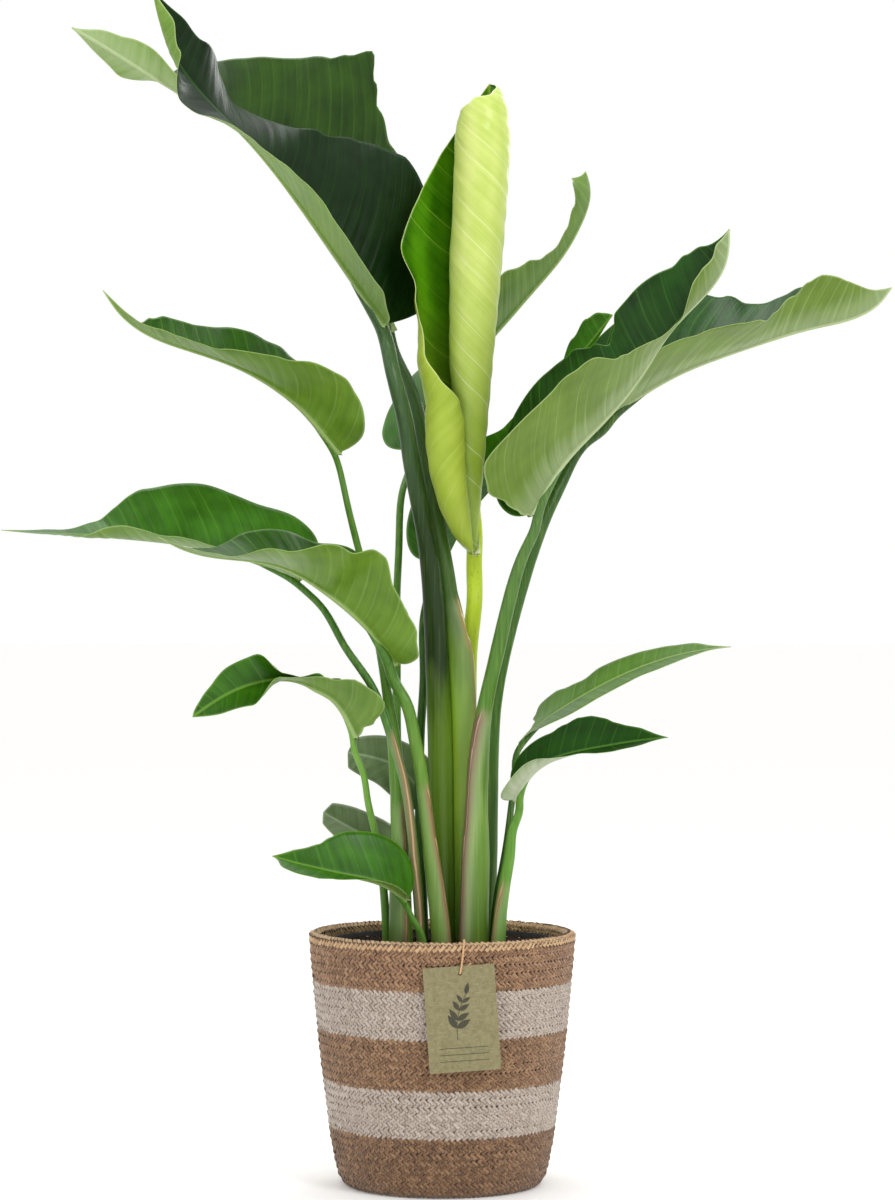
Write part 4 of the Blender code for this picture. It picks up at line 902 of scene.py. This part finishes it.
# Basket: flat jute braid, coiled upwards row on row and sewn, in brown and natural bands
natural = ("#6A5C50", "#AC9D90", "#D8CDC3")  # colours from the painted shade in the gaps to the crest
basket = {
    # radii and heights, in millimetres
    "outside": [(125.2, 235), (124.8, 225), (123.8, 211), (121.8, 190), (118, 150), (114, 112),
                (109.6, 80), (105.2, 45), (100.8, 22), (97.5, 10), (92.5, 3), (88, 0.8)],
    "rim": [(118.3, 232), (118.5, 235.2), (119.4, 237.6), (121.3, 238.6), (123.3, 237.8),
            (124.5, 235.8), (124.8, 233)],
    "inside": [(118.5, 218), (119, 224), (119.3, 229), (119.5, 234)],
    "lip": [(120.5, 237.2), (122.2, 237.8), (123.2, 236.6)],  # of the wall, under the rim's braid
    "wall": 0.0065,
    "floor": 0.0060,
    "steps": 144,
    "ridges": (0.0007, 0.0009),  # height of the sewn rows on the wall and under the floor
    "rowPitch": 0.0075,
    "bandEdges": (0.2350, 0.1950, 0.1500, 0.1020, 0.0570, 0.0026),
    "bands": [  # name, rows, colours from the painted shade in the gaps to the crest
        ("brownTop", 5, ("#33200F", "#846044", "#C8A27A")),
        ("naturalUpper", 6, natural),
        ("brownMiddle", 6, ("#2C1A0C", "#7C5A3E", "#C49E76")),
        ("naturalLower", 6, natural),
        # darker than the brown bands above, partly as painted shade towards the bottom
        ("brownBase", 8, ("#28180B", "#6E4F36", "#BC946C")),
    ],
    "rimColours": ("#5C4430", "#B49068", "#E2C69E"),
    # the same jute as the rim, painted lighter: painted light that lifts the shade inside the rim
    "insideColours": ("#8A6A4A", "#D6B48A", "#F4DFC0"),
    "stitchesPerMetre": 190.0,  # chevrons in one row, 5.3 mm apart
    "strand": (0.0080, 0.0022, 0.0026),  # length, width and depth
    "strandSink": 0.0013,  # of each strand's middle, under the basket's outside
    "slant": 0.74,
    "dip": 0.12,  # how steeply a strand's upper end dives under its neighbour
    "halfRows": (0.44, 0.28),  # the lower half row's place under the upper one, and that one's
    "scatter": {"turn": (-0.07, 0.07), "row": (-0.035, 0.035), "radius": (-0.00022, 0.00022),
                "slant": (-0.10, 0.10), "size": (0.90, 1.10), "shade": (0.0, 1.0)},
}


def juteMaterial(name, tones):
    # Jute strand, loosely spun and braided: matt and hairy, each a slightly different straw colour,
    # with painted shade where the strands sink into the gaps
    material, add, shader = newMaterial("braidedJute." + name)
    shade = add("Attribute", attribute_name="strandShade").outputs["Fac"]
    place = add("Attribute", attribute_name="strandPlace").outputs["Vector"]
    place = add("SeparateXYZ", [place]).outputs
    # fibres are finer than the render shows, so they are drawn 0.4 mm wide and 5 mm long, twisted
    skew = add("Math:MULTIPLY_ADD", [place["X"], 0.45, place["Y"]])
    at = add("CombineXYZ", [place["X"], skew, add("Math:MULTIPLY", [shade, 31.0])])
    fibre = grain(add, at, (200.0, 2600.0, 1.0))
    # painted shade: strands darken where they go under the next one, and along their low sides
    deep = add("Math:ABSOLUTE", [place["X"]])
    diveShade = add("MapRange", {"Value": deep, "From Min": 0.0030, "From Max": 0.0043})
    low = add("MapRange", {"Value": place["Z"], "From Min": 0.0011, "From Max": 0.0001})
    gapShade = add("Math:MAXIMUM", [diveShade, low])
    lift = add("Math:MULTIPLY_ADD", [fibre, 0.42, 0.20])
    lift = add("Math:MULTIPLY_ADD", [shade, 0.18, lift])
    lift = add("Math:MULTIPLY_ADD", [gapShade, -0.75, lift], use_clamp=True)
    straw = add("ValToRGB", [lift], list(zip((0.05, 0.42, 0.85), tones)))
    surface(add, shader, straw, fibre, 0.8, 0.0004,
            {"Roughness": 0.88, "Sheen Weight": 0.15, "Sheen Roughness": 0.6})
    return material


def wallMaterial():
    # The same jute seen deep between the strands: matt and dark, in the colours of the bands, the
    # dark being painted shade for the jute that lies in shade there
    material, add, shader = newMaterial("sewnJuteBackingPaintedShade")
    solid = add("TexCoord").outputs["Object"]
    edges = (0.0, *basket["bandEdges"][-2:0:-1])
    # painted shade: the bands' colours made dark for the jute in shade between the strands
    tones = ("#33210F", "#5E5144") * 3
    band = add("ValToRGB", [add("SeparateXYZ", [solid]).outputs["Z"]], list(zip(edges, tones)))
    band.color_ramp.interpolation = "CONSTANT"
    fibre = grain(add, solid, (500.0, 500.0, 900.0), 3.0)
    jute = tint(add, band, "#6E5238", fibre, 0.3, 0.7, 0.3)
    surface(add, shader, jute, fibre, 0.8, 0.0008, {"Roughness": 0.92})
    return material


def nodeGroup(name, values):
    # a geometry node tree that takes a guide mesh, a material and these whole or other numbers
    tree = bpy.data.node_groups.new(name, "GeometryNodeTree")
    tree.is_modifier = True
    for inOut in ("INPUT", "OUTPUT"):
        tree.interface.new_socket("Geometry", in_out=inOut, socket_type="NodeSocketGeometry")
    for label, value in values.items():
        kind = "NodeSocketInt" if isinstance(value, int) else "NodeSocketFloat"
        tree.interface.new_socket(label, in_out="INPUT", socket_type=kind).default_value = value
    tree.interface.new_socket("Material", in_out="INPUT", socket_type="NodeSocketMaterial")
    add = partial(addNode, tree)
    return tree, add, add("NodeGroupInput").outputs, add("NodeGroupOutput")


def braidTree():
    # rows of chevrons along a profile of (radius, 0, height), spun round the upright axis
    tree, add, given, result = nodeGroup("braidedRows", {"Rows": 6, "Stitches": 112, "Seed": 1})
    scatter = {}
    for number, (key, (least, most)) in enumerate(basket["scatter"].items(), 11):
        seed = add("Math:ADD", [given["Seed"], float(number)])
        scatter[key] = add("RandomValue", {2: least, 3: most, "Seed": seed}, data_type="FLOAT")
    index = add("InputIndex")
    perRow = add("Math:MULTIPLY", [given["Stitches"], 2.0])
    row = add("Math:FLOOR", [add("Math:DIVIDE", [add("Math:ADD", [index, 0.5]), perRow])])
    inRow = add("Math:SUBTRACT", [index, add("Math:MULTIPLY", [row, perRow])])
    lower = add("Math:MODULO", [inRow, 2.0])  # 0 in a row's upper half, 1 in its lower one
    lean = add("Math:MULTIPLY_ADD", [lower, -2.0, 1.0])
    # each row starts a little further round than the one above, unevenly
    rowSeed = add("Math:ADD", [row, given["Seed"]])
    turns = add("Math:MULTIPLY", [inRow, 0.5])
    for shift in (add("TexWhiteNoise", {"W": rowSeed}, noise_dimensions="1D"), scatter["turn"]):
        turns = add("Math:ADD", [turns, shift])
    angle = add("Math:MULTIPLY", [add("Math:DIVIDE", [turns, given["Stitches"]]), math.tau])
    place = add("Math:ADD", [row, add("Math:MULTIPLY_ADD", [lower, *basket["halfRows"]])])
    place = add("Math:DIVIDE", [add("Math:ADD", [place, scatter["row"]]), given["Rows"]])
    line = add("MeshToCurve", [given["Geometry"]])
    sample = add("SampleCurve", {"Curves": line, "Factor": place}, mode="FACTOR",
                 use_all_curves=True)
    spot, slope = (add("SeparateXYZ", [sample.outputs[key]]).outputs
                   for key in ("Position", "Tangent"))
    cosine, sine = add("Math:COSINE", [angle]), add("Math:SINE", [angle])
    radius = add("Math:ADD", [spot["X"], scatter["radius"]])
    at, down = (add("CombineXYZ", [*(add("Math:MULTIPLY", [x, way]) for way in (cosine, sine)), z])
                for x, z in ((radius, spot["Z"]), (slope["X"], slope["Z"])))
    round_ = add("CombineXYZ", [add("Math:MULTIPLY", [sine, -1.0]), cosine])
    outward = add("VectorMath:CROSS_PRODUCT", [down, round_])
    slant = add("Math:ADD", [basket["slant"], scatter["slant"]])
    across = add("Math:MULTIPLY", [add("Math:SINE", [slant]), lean])
    way = (0.0, 0.0, 0.0)
    for direction, share in ((round_, add("Math:COSINE", [slant])), (down, across),
                             (outward, (basket["dip"],) * 3)):
        way = add("VectorMath:MULTIPLY_ADD", [direction, share, way])
    facing = add("AxesToRotation", {"Primary Axis": way, "Secondary Axis": outward},
                 primary_axis="X", secondary_axis="Z")
    spots = add("Points", {"Count": add("Math:MULTIPLY", [perRow, given["Rows"]]), "Position": at})
    # one strand: five-sided, fat in its middle and thin at its ends, along x
    spine = add("CurvePrimitiveLine", {"Start": (-0.5, 0.0, 0.0), "End": (0.5, 0.0, 0.0)})
    spine = add("ResampleCurve", {"Curve": spine, "Count": 4})
    half = add("Math:MULTIPLY", [add("SplineParameter").outputs["Factor"], math.pi])
    swell = add("Math:MAXIMUM", [add("Math:SINE", [half]), 0.0])
    swell = add("Math:MULTIPLY_ADD", [add("Math:POWER", [swell, 0.75]), 0.30, 0.20])
    spine = add("SetCurveRadius", {"Curve": spine, "Radius": swell})
    ring = add("CurvePrimitiveCircle", {"Resolution": 5, "Radius": 1.0})
    strand = add("CurveToMesh", {"Curve": spine, "Profile Curve": ring, "Fill Caps": True})
    strand = add("Transform", {"Geometry": strand, "Scale": basket["strand"]})
    strand = add("StoreNamedAttribute",
                 {"Geometry": strand, "Name": "strandPlace", "Value": add("InputPosition")},
                 data_type="FLOAT_VECTOR", domain="POINT")
    many = add("InstanceOnPoints", {"Points": spots, "Instance": strand, "Rotation": facing,
                                    "Scale": scatter["size"]})
    many = add("StoreNamedAttribute",
               {"Geometry": many, "Name": "strandShade", "Value": scatter["shade"]},
               data_type="FLOAT", domain="INSTANCE")
    many = add("SetShadeSmooth", [add("RealizeInstances", [many])])
    plug(result, [add("SetMaterial", {"Geometry": many, "Material": given["Material"]})])
    return tree


def grow(name, points, edges, faces, tree, inputs, node):
    # runs a node tree on a small guide mesh, and keeps what it makes as a plain mesh
    guide = bpy.data.meshes.new(name + "Guide")
    guide.from_pydata([tuple(p) for p in points], edges, faces)
    piece = addObject(name, guide)
    modifier = piece.modifiers.new("grow", "NODES")
    modifier.node_group = tree
    for socket in tree.interface.items_tree:
        if socket.name in inputs:
            modifier[socket.identifier] = inputs[socket.name]
    made = bpy.data.meshes.new_from_object(
        piece.evaluated_get(bpy.context.evaluated_depsgraph_get()))
    piece.modifiers.clear()
    piece.data = made
    made.name = name
    print(name, len(made.polygons), "faces")
    settle(piece, node)


def outsideRadius(height):
    radii, heights = metres(basket["outside"][::-1]).T
    return np.interp(height, heights, radii)


def addBasketWall():
    # what the strands are sewn to: a closed wall and floor, ridged row by row
    def ridged(run, height):
        return height * np.abs(np.sin(math.pi * run / basket["rowPitch"]))

    inside, outside = np.linspace(0.012, 0.2345, 60), np.linspace(0.2345, 0.0008, 188)
    under = np.linspace(0.0855, 0.0040, 66)
    onWall, onFloor = basket["ridges"]
    profile = np.vstack([
        np.stack([outsideRadius(inside) - basket["wall"] + 0.0012, inside], axis=1),
        metres(basket["lip"]),
        np.stack([outsideRadius(outside) - 0.0030 + ridged(outside, onWall), outside], axis=1),
        np.stack([under, 0.0004 + ridged(under, onFloor)], axis=1),
    ])
    steps = basket["steps"]
    ring = np.stack([np.cos(circle(steps)), np.sin(circle(steps))], axis=-1)
    points = [(r * x, r * y, z) for r, z in profile for x, y in ring]
    faces = ringQuads(len(profile), steps).tolist()
    floorMiddle, baseMiddle = len(points), len(points) + 1
    points += [(0.0, 0.0, basket["floor"]), (0.0, 0.0, 0.0006)]
    final = (len(profile) - 1) * steps
    for k in range(steps):
        after = (k + 1) % steps
        faces.append([floorMiddle, k, after])
        faces.append([baseMiddle, final + after, final + k])
    addPiece("basketWall", points, faces, [wallMaterial()], "basket", "braided_jute")


def addBraids():
    braided = braidTree()
    braids = []
    edges = basket["bandEdges"]
    for number, (name, rows, tones) in enumerate(basket["bands"]):
        top, bottom = edges[number : number + 2]
        levels = np.linspace(top, bottom, max(3, round((top - bottom) / 0.002)))
        path = [(outsideRadius(z) - basket["strandSink"], 0.0, z) for z in levels]
        braids.append((name, rows, 3 + 7 * number, path, tones))
    for name, seed in (("rim", 51), ("inside", 61)):
        path = [(r, 0.0, z) for r, z in metres(basket[name])]
        braids.append((name, 2, seed, path, basket[name + "Colours"]))
    for name, rows, seed, path, tones in braids:
        along = [(i, i + 1) for i in range(len(path) - 1)]
        stitches = round(basket["stitchesPerMetre"] * math.tau * path[len(path) // 2][0])
        values = {"Rows": rows, "Stitches": stitches, "Seed": seed,
                  "Material": juteMaterial(name, tones)}
        grow("basketBraid." + name, path, along, [], braided, values, "basket")


addBraids()
addBasketWall()
print("basket braided")

# Potting soil: black peat compost with crumbs of bark and white grains, heaped round the stalks
soil = {
    "heap": 0.2300, "edge": 0.2270, "midRadius": 0.0600, "midDrop": 0.0020, "edgeRadius": 0.1094,
    "base": 0.0078, "baseRadius": 0.0817,
    "rings": 60, "steps": 132,
    "roughness": 0.0012,  # height of the crumbly surface
    "lumps": [(1.0, 140, 1.0), (0.6, 420, 4.0)],  # weight, how many in a metre, layer of the noise
    # name, how many in a square metre, smallest and largest in metres, flatness, seed
    "strewn": [("soilCrumbs", 62000.0, 0.0006, 0.0021, 0.7, 5),
               ("soilGrains", 9000.0, 0.0003, 0.0008, 0.8, 9)],
}


def crumbMaterial(name, dark, light, rough):
    material, add, shader = newMaterial(name)
    crumb = grain(add, None, 420.0, 4.0, Roughness=0.7)
    colour = add("ValToRGB", [crumb], [(0.35, dark), (0.72, light)])
    # it holds air, so hardly a gleam
    surface(add, shader, colour, crumb, 0.9, 0.0009, {"Roughness": rough, "IOR": 1.2})
    return material


soilMaterials = [
    # Peat: matt and nearly black, with brown fibres
    crumbMaterial("mattPeatCompost", "#070504", "#241A12", 0.95),
    # Bark: damp brown crumbs with a moist sheen
    crumbMaterial("dampBarkCrumbs", "#0B0806", "#4A3422", 0.72),
    # Perlite: popped volcanic glass, white and dusty
    crumbMaterial("whitePerliteGrains", "#B8B4AC", "#F0EEE8", 0.8),
]


def crumbTree():
    # small lumps strewn over the faces of a guide mesh
    tree, add, given, result = nodeGroup("strewnCrumbs", {
        "Density": 50000.0, "Smallest": 0.0006, "Largest": 0.002, "Flatness": 0.7, "Seed": 1})
    seed = given["Seed"]
    spots = add("DistributePointsOnFaces",
                {"Mesh": given["Geometry"], "Density": given["Density"], "Seed": seed},
                distribute_method="RANDOM")
    size = add("RandomValue", {2: given["Smallest"], 3: given["Largest"], "Seed": seed},
               data_type="FLOAT")
    turn = add("RandomValue", {1: (math.tau,) * 3, "Seed": seed}, data_type="FLOAT_VECTOR")
    lump = add("MeshIcoSphere", {"Radius": 1.0, "Subdivisions": 1})
    shape = add("CombineXYZ", [1.0, given["Flatness"], 0.8])
    lump = add("Transform", {"Geometry": lump, "Scale": shape})
    many = add("InstanceOnPoints", {"Points": spots, "Instance": lump, "Rotation": turn,
                                    "Scale": size})
    real = add("RealizeInstances", [many])
    plug(result, [add("SetMaterial", {"Geometry": real, "Material": given["Material"]})])
    return tree


def addSoil():
    steps = soil["steps"]
    radii = soil["edgeRadius"] * np.linspace(0, 1, soil["rings"])[1:]
    levels = np.interp(radii, (0, soil["midRadius"], soil["edgeRadius"]),
                       (soil["heap"], soil["heap"] - soil["midDrop"], soil["edge"]))
    points = [(0.0, 0.0, soil["heap"])]
    for r, level in zip(radii, levels):
        for angle in circle(steps):
            x, y = r * math.cos(angle), r * math.sin(angle)
            lumpy = sum(share * noise.noise((x * pace, y * pace, layer))
                        for share, pace, layer in soil["lumps"])
            points.append((x, y, level + soil["roughness"] * lumpy))
    share = soil["baseRadius"] / soil["edgeRadius"]
    base = [(x * share, y * share, soil["base"]) for x, y, _ in points[-steps:]]

    def cover(rings):
        fan = [[0, 1 + k, 1 + (k + 1) % steps] for k in range(steps)]
        return fan + np.roll(ringQuads(rings, steps, 1), 1, axis=1).tolist()

    underside = list(range(len(points) + steps - 1, len(points) - 1, -1))
    addPiece("soilBed", points + base, [*cover(len(radii) + 1), underside], soilMaterials[:1],
             "potting_soil", "potting_soil")
    strewn = crumbTree()
    for (name, *values), material in zip(soil["strewn"], soilMaterials[1:]):
        labels = ("Density", "Smallest", "Largest", "Flatness", "Seed", "Material")
        grow(name, points, [], cover(len(radii)), strewn, dict(zip(labels, (*values, material))),
             "potting_soil")


def potMaterial():
    # Polypropylene, injection moulded: black, faintly glossy with a fine eggshell texture
    material, add, shader = newMaterial("mouldedPolypropylene")
    cloud = grain(add, None, 30.0)
    black = add("ValToRGB", [cloud], [(0.3, "#0C0B0B"), (0.7, "#1B1918")])
    rough = add("MapRange", {"Value": cloud, "To Min": 0.38, "To Max": 0.55})
    surface(add, shader, black, grain(add, None, 900.0), 0.25, 0.0002,
            {"Roughness": rough, "IOR": 1.49})
    return material


addSoil()
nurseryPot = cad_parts["nursery_pot"]
for potSlot in nurseryPot.material_slots:
    potSlot.material = potMaterial()
print("pot filled")

# Hang tag: uncoated recycled card, a little bowed, with a plain sprig and ruled lines printed on it
tag = {
    "width": 0.0660, "height": 0.0970, "thickness": 0.0005,
    "centre": (0.0183, -0.1278, 0.1716), "turn": 4.0,  # degrees, in the card's own plane
    "hole": (0.0011, 0.0414), "holeRadius": 0.0017,
    "bow": 0.0008,
    "cup": 0.0004,  # how far the long edges lie back
    "spokes": 96,
    "rings": [0.0, 0.008, 0.03, 0.08, 0.16, 0.26, 0.38, 0.50, 0.62, 0.74, 0.86, 0.95, 1.0],
    "colours": ("#726B49", "#8F8864"),
    "inkColours": ("#2B2A20", "#55523F"),
    "inkDepth": (0.00008, -0.00005),  # of the print's front and back, over the card's face
    "sprig": {"foot": (-0.005, -0.019), "head": (0.006, 0.024), "bend": -0.004, "stem": 0.00032,
              "pairs": 4, "leaf": 0.0150, "spread": 0.80},
    "lines": (-0.0265, -0.0325, -0.0385),  # heights
    "lineShare": 0.34,  # half length, as a share of width
    "lineHalf": 0.0003,
}


def cardPoint(a, b, lift=0.0):
    # a place on the card, a across and b up from its middle, lifted towards the front
    turn = math.radians(tag["turn"])
    x = a * math.cos(turn) - b * math.sin(turn)
    z = a * math.sin(turn) + b * math.cos(turn)
    bulge = tag["bow"] * math.cos(math.pi * b / tag["height"])
    bulge -= tag["cup"] * (2 * a / tag["width"]) ** 2
    return (tag["centre"][0] + x, tag["centre"][1] - bulge - lift, tag["centre"][2] + z)


def cardMaterial():
    # Recycled card: matt, olive grey, with loose fibres 2 to 4 mm long and small paler flecks
    material, add, shader = newMaterial("recycledFibreCard")
    solid = add("TexCoord").outputs["Object"]
    cloud = grain(add, solid, 220.0, 5.0, Roughness=0.7)
    bent = add("Mapping", {"Vector": solid, "Rotation": (0.0, 0.5, 0.0),
                           "Scale": (300.0, 300.0, 1300.0)})
    fibre = grain(add, bent, 1.0, Distortion=1.5)
    mix = add("Math:MULTIPLY_ADD", [cloud, 0.5, add("Math:MULTIPLY", [fibre, 0.5])])
    colour = add("ValToRGB", [mix], list(zip((0.36, 0.62), tag["colours"])))
    speckled = tint(add, colour, "#C9C39F", fibre, 0.70, 0.80, 0.6)
    surface(add, shader, speckled, mix, 0.35, 0.0003, {"Roughness": 0.86})
    return material


def inkMaterial():
    # Water-based ink soaked into card: matt and slightly patchy
    material, add, shader = newMaterial("mattCardInk")
    patch = grain(add, None, 900.0, 3.0)
    ink = add("ValToRGB", [patch], list(zip((0.3, 0.75), tag["inkColours"])))
    plug(shader, {"Base Color": ink, "Roughness": 0.8})
    return material


def addCard():
    wide, tall = tag["width"] / 2, tag["height"] / 2
    ha, hb = tag["hole"]
    corners = [(wide, tall), (-wide, tall), (-wide, -tall), (wide, -tall)]
    angles = sorted({*[math.atan2(b - hb, a - ha) % math.tau for a, b in corners],
                     *[math.tau * k / tag["spokes"] for k in range(tag["spokes"])]})
    flat = []
    for share in tag["rings"]:
        for angle in angles:
            c, s = math.cos(angle), math.sin(angle)
            reach = min((math.copysign(half, way) - off) / way if abs(way) > 1e-9 else math.inf
                        for half, way, off in ((wide, c, ha), (tall, s, hb)))
            r = tag["holeRadius"] + (reach - tag["holeRadius"]) * share
            flat.append((ha + r * c, hb + r * s))
    half = tag["thickness"] / 2
    points = [cardPoint(a, b, lift) for lift in (half, -half) for a, b in flat]
    count, turns = len(flat), len(angles)
    front = np.roll(ringQuads(len(tag["rings"]), turns), 1, axis=1)
    k = np.arange(turns)
    after = (k + 1) % turns
    edge = np.stack([k, count + k, count + after, after], axis=-1)
    faces = [front, front[:, ::-1] + count, edge + count - turns, edge[:, ::-1]]
    piece = addPiece("tagCard", points, np.vstack(faces).tolist(), [cardMaterial()],
                     "hang_tag", "tag_card")
    piece.data.shade_flat()


def addPrint():
    points, faces = [], []

    def stamp(outline):
        # a thin closed slab of ink with this outline, anticlockwise as seen from the front
        start, n = len(points), len(outline)
        for depth in tag["inkDepth"]:
            lift = tag["thickness"] / 2 + depth
            points.extend(cardPoint(a, b, lift) for a, b in [*outline, np.mean(outline, axis=0)])
        for k in range(n):
            a, b = start + k, start + (k + 1) % n
            below = n + 1
            faces.extend([[start + n, a, b], [start + n + below, b + below, a + below],
                          [a, a + below, b + below, b]])

    def stampLeaf(foot, angle, length, width):
        t = np.linspace(0, 1, 13)
        bulge = width * np.sin(math.pi * t**0.8)
        along = np.concatenate([t, t[-2:0:-1]]) * length
        out = np.concatenate([-bulge, bulge[-2:0:-1]])
        c, s = math.cos(angle), math.sin(angle)
        stamp([(foot[0] + x * c - y * s, foot[1] + x * s + y * c) for x, y in zip(along, out)])

    def stampLine(line, half):
        for a, b in zip(line[:-1], line[1:]):
            way = (b - a) / np.linalg.norm(b - a)
            side = np.array((-way[1], way[0])) * half
            stamp([a - side, b - side, b + side, a + side])

    sprig = tag["sprig"]
    foot, head = np.array(sprig["foot"]), np.array(sprig["head"])
    bend = np.array((sprig["bend"], 0.0))
    steps = np.linspace(0, 1, 25)
    line = [foot + (head - foot) * t + bend * math.sin(math.pi * t) for t in steps]
    stampLine(line, sprig["stem"])
    rise = math.atan2(*(head - foot)[::-1])
    for k in range(sprig["pairs"]):
        at = line[round(24 * (0.24 + 0.19 * k))]
        size = sprig["leaf"] * (1 - 0.13 * k)
        for turn in (sprig["spread"], -sprig["spread"]):
            stampLeaf(at, rise + turn, size, size * 0.20)
    stampLeaf(line[-2], rise, sprig["leaf"] * 0.75, sprig["leaf"] * 0.15)
    reach = tag["width"] * tag["lineShare"]
    for height in tag["lines"]:
        stampLine([np.array((a, height)) for a in np.linspace(-reach, reach, 9)], tag["lineHalf"])
    piece = addPiece("tagPrint", points, faces, [inkMaterial()], None, "tag_card")
    piece.data.shade_flat()


addCard()
addPrint()
print("tag hung")

# Plain studio: pale floor, pale surround and soft lights
studio = {
    "surround": "#FFFFFF",
    "floor": "#F2F1EF",
    "floorRadius": 40.0,
    "lights": [
        # name, spot, height aimed at, size in metres, watts
        ("keyLight", (1.7, -2.6, 2.6), 0.65, 1.1, 40.0),
        ("fillLight", (-2.4, -2.0, 1.3), 0.6, 1.6, 6.0),
        ("topLight", (-0.3, 0.6, 3.0), 0.7, 1.6, 22.0),
        ("backLight", (1.2, 2.6, 1.8), 0.7, 1.2, 14.0),
    ],
}


def floorMaterial():
    # Matt white paint, rolled: a faint orange-peel, and a little light to even out the far floor
    material, add, shader = newMaterial("mattPaintedFloor")
    surface(add, shader, studio["floor"], grain(add, None, 180.0), 0.05, 0.0005,
            {"Roughness": 0.9, "Emission Color": "#FFFFFF", "Emission Strength": 0.10})
    return material


def addStudio():
    world = bpy.data.worlds.new("studioSurround")
    world.use_nodes = True
    plug(world.node_tree.nodes["Background"], {"Color": studio["surround"], "Strength": 1.0})
    bpy.context.scene.world = world
    around = circle(96)
    ring = np.stack([np.cos(around), np.sin(around), 0 * around], axis=-1) * studio["floorRadius"]
    addPiece("studioFloor", ring, [list(range(96))], [floorMaterial()])
    for name, spot, aim, size, watts in studio["lights"]:
        lamp = bpy.data.lights.new(name, "AREA")
        lamp.shape = "DISK"
        lamp.size = size
        lamp.energy = watts
        light = addObject(name, lamp, spot)
        way = Vector((0.0, 0.0, aim)) - Vector(spot)
        light.rotation_euler = way.to_track_quat("-Z", "Y").to_euler()
    bpy.context.scene.view_settings.view_transform = "Standard"


addStudio()
print("studio lit")
